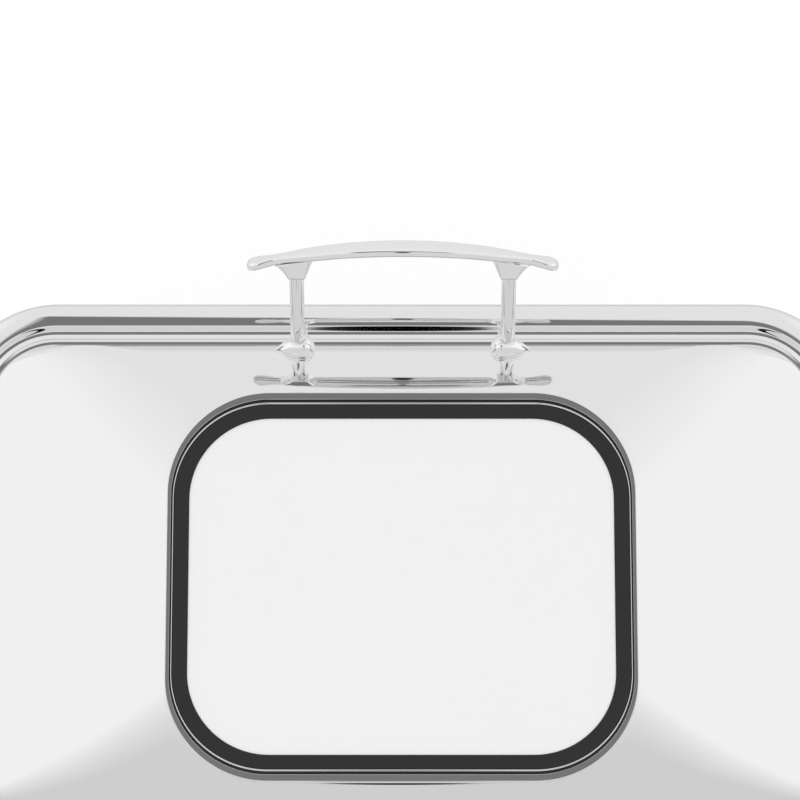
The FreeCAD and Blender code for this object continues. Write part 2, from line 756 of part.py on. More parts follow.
def make_handle_foot(side, sign):
    """Leaf-shaped boss: pointed outward, rounded inward, its top falling towards the point."""
    body = new_body(f"handle_foot_{side}")
    leaf = [
        ("boss_tip", "0"),
        ("0", "boss_half"),
        ("-boss_half", "0"),
        ("0", "-boss_half"),
    ]
    side_round = "((boss_tip^2 + boss_half^2) / (2 * boss_half))"
    points, arcs = mirrored(leaf, {0: side_round, 1: "boss_half", 2: "boss_half", 3: side_round}, sign)
    base = outline(sketch_on(body, "XY_Plane", "-boss_skirt"), points, arcs)
    pad(body, base, "(boss_height + boss_skirt)")
    above = [
        ("post_radius", "boss_height"),
        ("boss_tip", "boss_tip_height"),
        ("2 * boss_tip", "boss_tip_height"),
        ("2 * boss_tip", "2 * boss_height"),
        ("post_radius", "2 * boss_height"),
    ]
    points, arcs = mirrored(above, {0: "4 * boss_tip"}, sign)
    slope = outline(sketch_on(body, "XZ_Plane"), points, arcs)
    pocket(body, slope, "4 * boss_half", Midplane=True)
    fillet(body, lambda edge: edge.BoundBox.ZMin > CLOSE, "boss_round")
    shoulder_trim(body)
    socket = circle(sketch_on(body, "XY_Plane", "boss_height"), "0", "0", "(post_radius + post_fit)")
    pocket(body, socket, "2 * (boss_height + boss_skirt)")
    place_on_shoulder(body, f"{sign}post_spacing / 2")


def make_handle_post(side, sign):
    """Round post with a tapped foot and a spigot that plugs into the yoke."""
    body = new_body(f"handle_post_{side}")
    neck = "(post_length + spigot_length)"
    profile = [
        ("handle_screw_radius", "skin_gap"),
        ("post_radius", "skin_gap"),
        ("post_radius", "post_length"),
        ("spigot_radius", "post_length"),
        ("spigot_radius", neck),
        ("0", neck),
        ("0", "handle_screw_depth"),
        ("handle_screw_radius", "handle_screw_depth"),
    ]
    revolution(body, outline(sketch_on(body, "XZ_Plane"), profile))
    place_on_shoulder(body, f"{sign}post_spacing / 2")


YOKE_STEPS = 5


def make_handle_yoke(side, sign):
    """Trumpet-shaped connector that flares from the post to the underside of the grip."""
    body = new_body(f"handle_yoke_{side}")
    sections = []
    for step in range(YOKE_STEPS + 1):
        flare = f"({step} / {YOKE_STEPS}) ^ yoke_flare_power"
        width = f"(yoke_neck + (yoke_width - yoke_neck) * {flare})"
        depth = f"(yoke_neck + (yoke_depth - yoke_neck) * {flare})"
        height = f"(post_length + (yoke_height + yoke_rise) * {step} / {YOKE_STEPS})"
        sketch = sketch_on(body, "XY_Plane", height)
        sections.append(rounded_rectangle(sketch, width, depth, "((yoke_neck - yoke_flat) / 2)"))
    loft(body, sections)
    socket = circle(sketch_on(body, "XY_Plane", "post_length"), "0", "0", "spigot_radius")
    pocket(body, socket, "spigot_length", Reversed=True)

    def under_grip(x):
        across = f"({x} + {sign}post_spacing / 2)"
        return x, f"({GRIP_UNDER} - grip_arch_round + sqrt(grip_arch_round^2 - {across}^2))"

    above = [
        under_grip("-yoke_width"),
        under_grip("yoke_width"),
        ("yoke_width", f"({GRIP_UNDER} + yoke_height)"),
        ("-yoke_width", f"({GRIP_UNDER} + yoke_height)"),
    ]
    trim = outline(sketch_on(body, "XZ_Plane"), above, {0: "-grip_arch_round"})
    pocket(body, trim, "2 * yoke_depth", Midplane=True)
    place_on_shoulder(body, f"{sign}post_spacing / 2")


def make_handle_grip():
    """Arched flat grip that narrows outside the yokes and ends in rounded paddles."""
    body = new_body("handle_grip")
    half = "(grip_length / 2)"
    end_round = "(grip_paddle / 2)"
    end_place = f"({half} - {end_round})"
    plan = [
        ("grip_neck_place", "-grip_neck / 2"),
        (end_place, f"-{end_round}"),
        (half, "0"),
        (end_place, end_round),
        ("grip_neck_place", "grip_neck / 2"),
        ("0", "grip_width / 2"),
        ("-grip_neck_place", "grip_neck / 2"),
        (f"-{end_place}", end_round),
        (f"-{half}", "0"),
        (f"-{end_place}", f"-{end_round}"),
        ("-grip_neck_place", "-grip_neck / 2"),
        ("0", "-grip_width / 2"),
    ]
    belly = "(grip_width - grip_neck)"
    long_round = f"((grip_neck_place^2 + {belly}^2 / 4) / {belly})"
    quarter = ["-grip_neck_round", end_round, end_round, "-grip_neck_round", long_round, long_round]
    arcs = dict(enumerate(quarter + quarter))
    low = f"({GRIP_UNDER} - {GRIP_DROP} - grip_thickness)"
    pad(body, outline(sketch_on(body, "XY_Plane", low), plan, arcs), f"({GRIP_DROP} + 3 * grip_thickness)")
    end = f"({half} + grip_thickness)"
    for radius, height in (
        ("(grip_arch_round + grip_thickness)", f"({GRIP_UNDER} + 3 * grip_thickness)"),
        ("grip_arch_round", f"({low} - grip_thickness)"),
    ):
        edge = f"({GRIP_UNDER} - grip_arch_round + sqrt({radius}^2 - {end}^2))"
        outside = [
            (f"-{end}", edge),
            (end, edge),
            (end, height),
            (f"-{end}", height),
        ]
        cutter = outline(sketch_on(body, "XZ_Plane"), outside, {0: f"-{radius}"})
        pocket(body, cutter, "2 * grip_width", Midplane=True)
    long_enough = 2 * number("grip_thickness")
    fillet(body, lambda edge: edge.Length > long_enough, "grip_edge_round")
    place_on_shoulder(body, "0")


def make_handle_screws():
    """Inside the lid: a washer and a cap screw for each post."""
    members = []
    skin = "(lid_sheet * (sin(post_slope) + cos(post_slope)))"
    sag = f"(lid_shoulder_round - sqrt((lid_shoulder_round - {skin})^2 - handle_washer_radius^2))"
    under = f"({sag} + handle_washer_thickness + skin_gap)"
    for side, sign in SIDES.items():
        body = doc.addObject("PartDesign::Body", f"handle_screw_{side}")
        body.Label = f"handle_screw_{side}"
        profile = [
            ("0", f"-({under} + handle_nut_height)"),
            ("handle_nut_radius", f"-({under} + handle_nut_height)"),
            ("handle_nut_radius", f"-{under}"),
            ("handle_washer_radius", f"-{under}"),
            ("handle_washer_radius", f"-({under} - handle_washer_thickness)"),
            ("handle_screw_radius", f"-({under} - handle_washer_thickness)"),
            ("handle_screw_radius", "(handle_screw_depth - handle_screw_tip_gap)"),
            ("0", "(handle_screw_depth - handle_screw_tip_gap)"),
        ]
        revolution(body, outline(sketch_on(body, "XZ_Plane"), profile))
        place_on_shoulder(body, f"{sign}post_spacing / 2")
        members.append(body)
    group("handle_screws", members)


def on_shoulder(slope, above="0"):
    """Point of a side view that lies on the lid's rear shoulder, or above it."""
    radius = f"(lid_shoulder_round + {above})"
    return f"({SHOULDER_Y} + {radius} * sin({slope}))", f"({SHOULDER_Z} + {radius} * cos({slope}))"


EAR_INSIDE = "(knuckle_width / 2 + disc_thickness + 2 * disc_gap)"
EAR_OUTSIDE = f"({EAR_INSIDE} + ear_thickness)"
ARM_TOP = f"({LIP_LOW} - bracket_skirt_gap)"
ARM_LOW = f"({ARM_TOP} - bracket_arm_height)"
PLATE_LOW = f"({FRAME_TOP} - frame_height)"


def make_hinge(side, sign):
    """One rear hinge: arm on the lid with its bush, and bracket, pin and friction discs below."""
    x = f"{sign}hinge_spacing / 2"
    arm = new_body(f"hinge_arm_{side}")
    profile = [
        on_shoulder("arm_lower_slope", "skin_gap"),
        on_shoulder("arm_upper_slope", "skin_gap"),
        on_shoulder("arm_upper_slope", "arm_thickness"),
        on_shoulder("arm_turn_slope", "arm_thickness"),
        (PIVOT_Y, f"({PIVOT_Z} + knuckle_radius)"),
        (f"({PIVOT_Y} + knuckle_radius)", PIVOT_Z),
        (PIVOT_Y, f"({PIVOT_Z} - knuckle_radius)"),
    ]
    arcs = {
        0: "(lid_shoulder_round + skin_gap)",
        2: "-(lid_shoulder_round + arm_thickness)",
        4: "-knuckle_radius",
        5: "-knuckle_radius",
    }
    pad(arm, outline(sketch_on(arm, "YZ_Plane"), profile, arcs), "knuckle_width", Midplane=True)
    bush_radius = "(pin_radius + bush_fit + bush_wall)"
    bore = circle(sketch_on(arm, "YZ_Plane"), PIVOT_Y, PIVOT_Z, bush_radius)
    pocket(arm, bore, "2 * knuckle_width", Midplane=True)
    place(arm, x)

    bush = new_body(f"hinge_bush_{side}")
    section = circle(sketch_on(bush, "YZ_Plane"), PIVOT_Y, PIVOT_Z, bush_radius)
    circle(section, PIVOT_Y, PIVOT_Z, "(pin_radius + bush_fit)")
    pad(bush, section, "knuckle_width", Midplane=True)
    place(bush, x)

    bracket = new_body(f"hinge_bracket_{side}")
    stop_face = f"({PIVOT_Y} + ear_radius + stop_gap)"
    rear = f"({stop_face} + stop_wall)"
    stop_top = f"({PIVOT_Z} + stop_rise)"
    profile = [
        (FRAME_FACE, PLATE_LOW),
        (FRAME_FACE, ARM_TOP),
        (f"({PIVOT_Y} - ear_radius)", ARM_TOP),
        (f"({PIVOT_Y} - ear_radius)", PIVOT_Z),
        (PIVOT_Y, f"({PIVOT_Z} + ear_radius)"),
        (f"({PIVOT_Y} + sqrt(ear_radius^2 - stop_rise^2))", stop_top),
        (rear, stop_top),
        (rear, ARM_TOP),
        (PIVOT_Y, ARM_LOW),
        (f"({FRAME_FACE} + bracket_plate)", ARM_LOW),
        (f"({FRAME_FACE} + bracket_plate)", PLATE_LOW),
    ]
    section = outline(sketch_on(bracket, "YZ_Plane"), profile, {3: "-ear_radius", 4: "-ear_radius"})
    pad(bracket, section, f"2 * {EAR_OUTSIDE}", Midplane=True)
    slot = [
        (f"-{EAR_INSIDE}", f"({PIVOT_Y} - 2 * ear_radius)"),
        (EAR_INSIDE, f"({PIVOT_Y} - 2 * ear_radius)"),
        (EAR_INSIDE, stop_face),
        (f"-{EAR_INSIDE}", stop_face),
    ]
    gap = outline(sketch_on(bracket, "XY_Plane", f"({PIVOT_Z} + ear_radius)"), slot)
    pocket(bracket, gap, "(ear_radius + knuckle_radius + bracket_slot_gap)")
    bore = circle(sketch_on(bracket, "YZ_Plane"), PIVOT_Y, PIVOT_Z, "pin_radius")
    pocket(bracket, bore, f"4 * {EAR_OUTSIDE}", Midplane=True)
    screw_holes = sketch_on(bracket, "XZ_Plane", f"-({FRAME_FACE} + bracket_plate)")
    hole_radius = "(screw_radius + screw_hole_gap)"
    for mark in ("-", ""):
        circle(screw_holes, f"{mark}bracket_screw_spacing / 2", BRACKET_SCREW_Z, hole_radius)
    pocket(bracket, screw_holes, "2 * bracket_plate", Reversed=True)
    place(bracket, x)

    pin = new_body(f"hinge_pin_{side}")
    shaft = circle(sketch_on(pin, "YZ_Plane", f"-{EAR_OUTSIDE}"), PIVOT_Y, PIVOT_Z, "pin_radius")
    pad(pin, shaft, f"2 * {EAR_OUTSIDE}")
    head = circle(sketch_on(pin, "YZ_Plane", EAR_OUTSIDE), PIVOT_Y, PIVOT_Z, "pin_head_radius")
    pad(pin, head, "pin_head_height")
    tail = circle(sketch_on(pin, "YZ_Plane", f"-{EAR_OUTSIDE}"), PIVOT_Y, PIVOT_Z, "pin_head_radius")
    pad(pin, tail, "pin_head_height", Reversed=True)
    place(pin, x)

    discs = []
    for end, lift in (
        ("inner", "-(knuckle_width / 2 + disc_gap + disc_thickness)"),
        ("outer", "(knuckle_width / 2 + disc_gap)"),
    ):
        disc = doc.addObject("PartDesign::Body", f"hinge_disc_{side}_{end}")
        disc.Label = f"hinge_disc_{side}_{end}"
        section = circle(sketch_on(disc, "YZ_Plane", lift), PIVOT_Y, PIVOT_Z, "pin_radius")
        circle(section, PIVOT_Y, PIVOT_Z, "(knuckle_radius - disc_inset)")
        pad(disc, section, "disc_thickness")
        place(disc, x)
        discs.append(disc)
    group(f"hinge_friction_discs_{side}", discs)


def screw(label, length):
    """A pan-head screw: its shank points down its own Z, and its head sits above the origin."""
    shank = cylinder(f"{label}_shank", "screw_radius", length)
    place(shank, "0", "0", f"-{length}")
    head = doc.addObject("Part::Cone", f"{label}_head")
    bind(head, "Radius1", "screw_head_radius")
    bind(head, "Radius2", "screw_head_crown")
    bind(head, "Height", "screw_head_height")
    made = doc.addObject("Part::Fuse", label)
    made.Base = shank
    made.Tool = head
    return made


LEG_SCREW_Z = f"({FRAME_TOP} - frame_height / 2)"
BRACKET_SCREW_Z = f"({PLATE_LOW} + bracket_foot_drop)"
CORNERS = {
    "front_left": ("-", "-"),
    "front_right": ("", "-"),
    "rear_left": ("-", ""),
    "rear_right": ("", ""),
}


def make_frame():
    """Flat-bar ring that carries the water pan by the underside of its ledge."""
    body = new_body("stand_frame")
    outer = rounded_rectangle(
        sketch_on(body, "XY_Plane", FRAME_TOP),
        f"({FRAME_IN_WIDTH} + 2 * frame_sheet)",
        f"({FRAME_IN_DEPTH} + 2 * frame_sheet)",
        "(well_corner + water_sheet + frame_gap + frame_sheet)",
    )
    pad(body, outer, "frame_height", Reversed=True)
    inner = rounded_rectangle(
        sketch_on(body, "XY_Plane", FRAME_TOP),
        FRAME_IN_WIDTH,
        FRAME_IN_DEPTH,
        "(well_corner + water_sheet + frame_gap)",
    )
    pocket(body, inner, "2 * frame_height")
    holes = sketch_on(body, "XZ_Plane")
    for mark in ("-", ""):
        circle(holes, f"{mark}leg_place", LEG_SCREW_Z, "screw_radius")
    pocket(body, holes, f"4 * {FRAME_FACE}", Midplane=True)
    rear_holes = sketch_on(body, "XZ_Plane")
    for mark in ("-", ""):
        for half in ("-", "+"):
            x = f"({mark}hinge_spacing / 2 {half} bracket_screw_spacing / 2)"
            circle(rear_holes, x, BRACKET_SCREW_Z, "screw_radius")
    pocket(body, rear_holes, f"2 * {FRAME_FACE}")


def make_leg(corner, x_sign, y_sign):
    """Flat-backed leg whose foot sweeps outward to a toe."""
    body = new_body(f"leg_{corner}")
    toe_in = f"({FRAME_FACE} + leg_toe - leg_toe_thickness)"
    toe_out = f"({FRAME_FACE} + leg_toe)"
    outer = f"({FRAME_FACE} + leg_thickness)"
    back_run = "(leg_toe - leg_toe_thickness)"
    back_rise = "(leg_toe_height - pad_height)"
    front_run = "(leg_toe - leg_thickness)"
    toe_top = "(pad_height + leg_toe_tip)"
    front_rise = "(leg_toe_height + leg_thickness - leg_toe_tip - pad_height)"
    top = f"({FRAME_TOP} - leg_top_gap)"
    profile = [
        (FRAME_FACE, top),
        (FRAME_FACE, "leg_toe_height"),
        (toe_in, "pad_height"),
        (toe_out, "pad_height"),
        (toe_out, toe_top),
        (outer, "(leg_toe_height + leg_thickness)"),
        (outer, f"({top} - leg_top_round)"),
        (f"({outer} - leg_top_round)", top),
    ]
    arcs = {
        1: f"(({back_run}^2 + {back_rise}^2) / (2 * {back_run}))",
        4: f"-(({front_run}^2 + {front_rise}^2) / (2 * {front_run}))",
        6: "leg_top_round",
    }
    pad(body, outline(sketch_on(body, "YZ_Plane"), profile, arcs), "leg_width", Midplane=True)
    face, toe = number(FRAME_FACE), number(toe_top)

    def outward(edge):
        return upright(edge) and edge.BoundBox.YMin > face + 1 and edge.BoundBox.ZMax > toe + 1

    fillet(body, outward, "leg_edge_round")
    holes = sketch_on(body, "XZ_Plane", f"-{outer}")
    for height in (LEG_SCREW_Z, "rail_height"):
        circle(holes, "0", height, "(screw_radius + screw_hole_gap)")
    pocket(body, holes, "2 * leg_thickness", Reversed=True)
    if y_sign:
        place(body, f"{x_sign}leg_place", "0", "0", (0, 0, 1), "180")
    else:
        place(body, f"{x_sign}leg_place")
    foot = doc.addObject("Part::Cone", f"foot_pad_{corner}")
    foot.Label = f"foot_pad_{corner}"
    bind(foot, "Radius1", "(pad_radius - pad_draft)")
    bind(foot, "Radius2", "pad_radius")
    bind(foot, "Height", "pad_height")
    place(foot, f"{x_sign}leg_place", f"{y_sign}({FRAME_FACE} + leg_toe - leg_toe_thickness / 2)")
    pieces.append(foot)


def make_rails_and_screws():
    """Side rails between the legs, and every screw of the stand."""
    leg_face = f"({FRAME_FACE} + leg_thickness)"
    bore_length = "(screw_reach + screw_tip_gap)"
    stand_screws = []
    for side, sign in SIDES.items():
        rod = cylinder(f"rail_rod_{side}", "rail_radius", f"2 * {FRAME_FACE}")
        place(rod, f"{sign}leg_place", FRAME_FACE, "rail_height", (1, 0, 0), "90")
        bores = []
        for end, start in (("rear", FRAME_FACE), ("front", f"-({FRAME_FACE} - {bore_length})")):
            bore = cylinder(f"rail_bore_{side}_{end}", "screw_radius", bore_length)
            place(bore, f"{sign}leg_place", start, "rail_height", (1, 0, 0), "90")
            bores.append(bore)
        cut(f"side_rail_{side}", rod, bores)
    rows = (("frame", LEG_SCREW_Z, "frame_sheet"), ("rail", "rail_height", "screw_reach"))
    for corner, (x_sign, y_sign) in CORNERS.items():
        for name, height, reach in rows:
            made = screw(f"stand_screw_{corner}_{name}", f"(leg_thickness + {reach})")
            angle = "90" if y_sign else "-90"
            place(made, f"{x_sign}leg_place", f"{y_sign}{leg_face}", height, (1, 0, 0), angle)
            stand_screws.append(made)
    group("stand_screws", stand_screws)
    hinge_screws = []
    for mark in ("-", ""):
        for half in ("-", "+"):
            made = screw(f"hinge_screw_{len(hinge_screws) + 1}", "(bracket_plate + frame_sheet)")
            x = f"({mark}hinge_spacing / 2 {half} bracket_screw_spacing / 2)"
            place(made, x, f"({FRAME_FACE} + bracket_plate)", BRACKET_SCREW_Z, (1, 0, 0), "-90")
            hinge_screws.append(made)
    group("hinge_screws", hinge_screws)


def make_shelf():
    """Folded tray on the side rails, with a round hole for each fuel holder."""
    body = new_body("burner_shelf")
    rail_outside = "(leg_place + rail_radius + shelf_side_gap)"
    bottom = f"({SHELF_TOP} - shelf_sheet)"
    profile = [
        (f"-({rail_outside} + shelf_sheet)", SHELF_TOP),
        (f"-({rail_outside} + shelf_sheet)", f"({SHELF_TOP} - shelf_fold)"),
        (f"-{rail_outside}", f"({SHELF_TOP} - shelf_fold)"),
        (f"-{rail_outside}", bottom),
        (rail_outside, bottom),
        (rail_outside, f"({SHELF_TOP} - shelf_fold)"),
        (f"({rail_outside} + shelf_sheet)", f"({SHELF_TOP} - shelf_fold)"),
        (f"({rail_outside} + shelf_sheet)", SHELF_TOP),
    ]
    pad(body, outline(sketch_on(body, "XZ_Plane"), profile), "shelf_depth", Midplane=True)
    lip_end = "(leg_place - rail_radius - shelf_lip_inset)"
    lips = sketch_on(body, "XY_Plane", SHELF_TOP)
    for low, high in (
        ("-(shelf_depth / 2)", "-(shelf_depth / 2 - shelf_sheet)"),
        ("(shelf_depth / 2 - shelf_sheet)", "(shelf_depth / 2)"),
    ):
        outline(lips, [(f"-{lip_end}", low), (lip_end, low), (lip_end, high), (f"-{lip_end}", high)])
    pad(body, lips, "shelf_fold", Reversed=True)
    holes = sketch_on(body, "XY_Plane", SHELF_TOP)
    for mark in ("-", ""):
        circle(holes, f"{mark}cup_spacing / 2", "0", "(cup_radius + cup_hole_gap)")
    pocket(body, holes, "2 * shelf_sheet")


def make_burner(side, sign):
    """Fuel holder with a collar, a pivot pin and a snuffer cover that swings out sideways."""
    x = f"{sign}cup_spacing / 2"
    cup = new_body(f"fuel_cup_{side}")
    inner = "(cup_radius - cup_sheet)"
    profile = [
        ("0", "-cup_depth"),
        ("(cup_radius - cup_bottom_round)", "-cup_depth"),
        ("cup_radius", "-(cup_depth - cup_bottom_round)"),
        ("cup_radius", "0"),
        ("(cup_radius + cup_flange)", "0"),
        ("(cup_radius + cup_flange)", "cup_sheet"),
        ("cup_radius", "cup_sheet"),
        ("cup_radius", "cup_collar"),
        (inner, "cup_collar"),
        (inner, "-(cup_depth - cup_bottom_round)"),
        ("(cup_radius - cup_bottom_round)", "-(cup_depth - cup_sheet)"),
        ("0", "-(cup_depth - cup_sheet)"),
    ]
    arcs = {1: "cup_bottom_round", 9: "-(cup_bottom_round - cup_sheet)"}
    revolution(cup, outline(sketch_on(cup, "XZ_Plane"), profile, arcs))
    place(cup, x, "0", SHELF_TOP)

    pin = new_body(f"cover_pin_{side}")
    ear_top = "(cup_collar + cover_gap + cover_sheet + cover_gap)"
    head_top = f"({ear_top} + cover_pin_head_height)"
    profile = [
        ("0", "cup_sheet"),
        ("cover_pin_shoulder", "cup_sheet"),
        ("cover_pin_shoulder", "cup_collar"),
        ("cover_pin_radius", "cup_collar"),
        ("cover_pin_radius", ear_top),
        ("cover_pin_head", ear_top),
        ("cover_pin_head_top", head_top),
        ("0", head_top),
    ]
    revolution(pin, outline(sketch_on(pin, "XZ_Plane"), profile))
    place(pin, x, COVER_PIN_Y, SHELF_TOP)

    cover = new_body(f"snuffer_cover_{side}")
    underside = "(cup_collar + cover_gap)"
    upside = f"({underside} + cover_sheet)"
    disc = circle(sketch_on(cover, "XY_Plane", underside), "0", "0", "(cup_radius + cover_overhang)")
    pad(cover, disc, "cover_sheet")
    ear = sketch_on(cover, "XY_Plane", underside)
    outline(
        ear,
        [
            ("-cover_ear_radius", "(cup_radius - cover_ear_radius)"),
            ("cover_ear_radius", "(cup_radius - cover_ear_radius)"),
            ("cover_ear_radius", COVER_PIN_Y),
            ("0", f"({COVER_PIN_Y} + cover_ear_radius)"),
            ("-cover_ear_radius", COVER_PIN_Y),
        ],
        {2: "cover_ear_radius", 3: "cover_ear_radius"},
    )
    pad(cover, ear, "cover_sheet")
    raised = circle(sketch_on(cover, "XY_Plane", upside), "0", "0", "cover_dish_radius")
    pad(cover, raised, "cover_dish", TaperAngle="-cover_dish_taper")
    hollow_radius = "(cover_dish_radius - cover_dish_wall)"
    hollow = circle(sketch_on(cover, "XY_Plane", underside), "0", "0", hollow_radius)
    pocket(cover, hollow, "cover_dish", Reversed=True)
    hole_radius = "(cover_pin_radius + cover_pin_fit)"
    hole = circle(sketch_on(cover, "XY_Plane", upside), "0", COVER_PIN_Y, hole_radius)
    pocket(cover, hole, "2 * cover_sheet")
    place(cover, x, "0", SHELF_TOP)

    knob = new_body(f"cover_knob_{side}")
    profile = [
        ("0", upside),
        ("knob_foot", upside),
        ("knob_neck", f"({upside} + knob_neck_low)"),
        ("knob_neck", f"({upside} + knob_neck_high)"),
        ("knob_radius", f"({upside} + knob_widest)"),
        ("knob_top", f"({upside} + knob_height)"),
        ("0", f"({upside} + knob_height)"),
    ]
    revolution(knob, outline(sketch_on(knob, "XZ_Plane"), profile, {4: "knob_radius"}))
    place(knob, x, "-(cup_radius - knob_inset)", SHELF_TOP)


def make_lid_bumpers():
    """Silicone buttons under the lid's flange, which keep metal off metal."""
    buttons = []
    for mark in ("-", ""):
        for other in ("-", ""):
            button = cylinder(f"lid_bumper_{len(buttons) + 1}", "bumper_radius", "(lid_lift - bumper_gap)")
            y = f"{other}({LID_DEPTH} / 2 - lid_flange_width / 2)"
            place(button, f"{mark}bumper_place", y, f"({LID_BASE} - lid_lift + bumper_gap)")
            buttons.append(button)
    group("lid_bumpers", buttons)


make_water_pan()
make_food_pan()
make_lid_shell()
make_window()
for side, sign in SIDES.items():
    make_handle_foot(side, sign)
    make_handle_post(side, sign)
    make_handle_yoke(side, sign)
make_handle_grip()
make_handle_screws()
make_lid_bumpers()
for side, sign in SIDES.items():
    make_hinge(side, sign)
make_frame()
for corner, (x_sign, y_sign) in CORNERS.items():
    make_leg(corner, x_sign, y_sign)
make_rails_and_screws()
make_shelf()
for side, sign in SIDES.items():
    make_burner(side, sign)

doc.recompute()
for thing in doc.Objects:
    if "Invalid" in thing.State or "Error" in thing.State:
        raise ValueError(f"{thing.Label} failed: {thing.State}")
for piece in pieces:
    if piece.Shape.isNull() or not piece.Shape.isValid():
        raise ValueError(f"{piece.Label} has no valid shape")
    print(f"{piece.Label}: {len(piece.Shape.Solids)} solid, {piece.Shape.Volume:.0f} cubic mm")
os.makedirs("parts", exist_ok=True)
for piece in pieces:
    piece.Shape.exportStep(os.path.join("parts", piece.Label + ".step"))
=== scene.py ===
# %% [markdown]
# A chafing dish, dressed for its portrait
#
# The dish is a catering pan with a hinged lid: mirror-polished stainless sheet, a round-cornered window
# in a black rubber gasket, and an arched lift handle on two posts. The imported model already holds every
# piece at its true size. This lesson gives the pieces their finish, and replaces the ones that a mirror
# finish would show up as too plain.
#
# X runs along the long side, the lift handle is at -Y, the hinges are at +Y and Z is up. Blender works in
# metres. The pieces below are worked out in millimetres, as a drawing would be, and made metres when
# their mesh is made.

# %% Load the frame
import math

import bmesh
import bpy
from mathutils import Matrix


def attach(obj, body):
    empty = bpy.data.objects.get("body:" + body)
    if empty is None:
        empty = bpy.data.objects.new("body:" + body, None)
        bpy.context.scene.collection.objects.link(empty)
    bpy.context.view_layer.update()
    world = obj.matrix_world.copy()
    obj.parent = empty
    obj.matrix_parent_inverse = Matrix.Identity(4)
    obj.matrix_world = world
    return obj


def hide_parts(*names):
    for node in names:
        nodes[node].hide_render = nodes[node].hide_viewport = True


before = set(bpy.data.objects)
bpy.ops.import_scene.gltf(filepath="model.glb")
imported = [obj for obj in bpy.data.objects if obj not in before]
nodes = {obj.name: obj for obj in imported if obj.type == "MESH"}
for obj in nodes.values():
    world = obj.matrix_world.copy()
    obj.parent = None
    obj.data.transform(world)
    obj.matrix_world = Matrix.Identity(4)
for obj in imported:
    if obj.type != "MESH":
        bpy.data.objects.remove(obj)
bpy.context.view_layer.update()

MM = 0.001
print("pieces in the frame:", len(nodes))

# %% [markdown]
# The camera first
#
# A product picture of something shiny is decided by where the camera stands, because every surface
# mirrors what lies in one direction only. The picture is taken from the hinge side, twelve degrees off
# straight down, so its upward direction is -Y. A camera needs a place and three axes: it looks along its
# own -Z, and its Y is up in the picture. The distance comes from one scale, the real width that the
# picture spans at the window, so that the lens can be changed without changing the framing.

# %% Camera
PICTURE_WIDTH = 0.520
LENS = 152.0
SENSOR = 36.0
AIM = (0.001, -0.1234, 0.288)
ABOVE_HORIZON = math.radians(78)

distance = PICTURE_WIDTH * LENS / SENSOR
toward_camera = (0.0, math.cos(ABOVE_HORIZON), math.sin(ABOVE_HORIZON))
camera = bpy.data.objects.new("camera", bpy.data.cameras.new("camera"))
camera.data.lens = LENS
camera.data.sensor_width = SENSOR
camera.data.clip_end = 30.0
camera.location = [aim + distance * part for aim, part in zip(AIM, toward_camera)]
camera.rotation_euler = (math.pi / 2 - ABOVE_HORIZON, 0.0, math.pi)
bpy.context.scene.collection.objects.link(camera)
bpy.context.scene.camera = camera
bpy.context.scene.view_settings.view_transform = "Standard"
print("camera stands", round(distance, 3), "m from the window's front edge")

# %% [markdown]
# Shader maths that reads like a sum
#
# A shader is a graph of nodes, and a graph is hard to read as code. Here one small class wraps a socket,
# so that `haze * 0.5 + 0.1` adds the two Math nodes it needs, and one method makes every other kind of
# node.

# %% Values and finishes


class Value:
    """One output of a shader node, which takes part in plain arithmetic."""

    def __init__(self, finish, socket):
        self.finish = finish
        self.socket = socket

    def maths(self, operation, first, second=0.0):
        return self.finish.node("ShaderNodeMath", {"operation": operation}, {0: first, 1: second})

    def __add__(self, other):
        return self.maths("ADD", self, other)

    def __radd__(self, other):
        return self.maths("ADD", other, self)

    def __sub__(self, other):
        return self.maths("SUBTRACT", self, other)

    def __rsub__(self, other):
        return self.maths("SUBTRACT", other, self)

    def __mul__(self, other):
        return self.maths("MULTIPLY", self, other)

    def __rmul__(self, other):
        return self.maths("MULTIPLY", other, self)

    def __truediv__(self, other):
        return self.maths("DIVIDE", self, other)

    def __pow__(self, other):
        return self.maths("POWER", self, other)

    def __abs__(self):
        return self.maths("ABSOLUTE", self)

    def past(self, edge, softness):
        """0 below the edge and 1 above it, with a ramp of that width between."""
        return self.finish.node("ShaderNodeClamp", None, {0: (self - edge) / softness + 0.5})


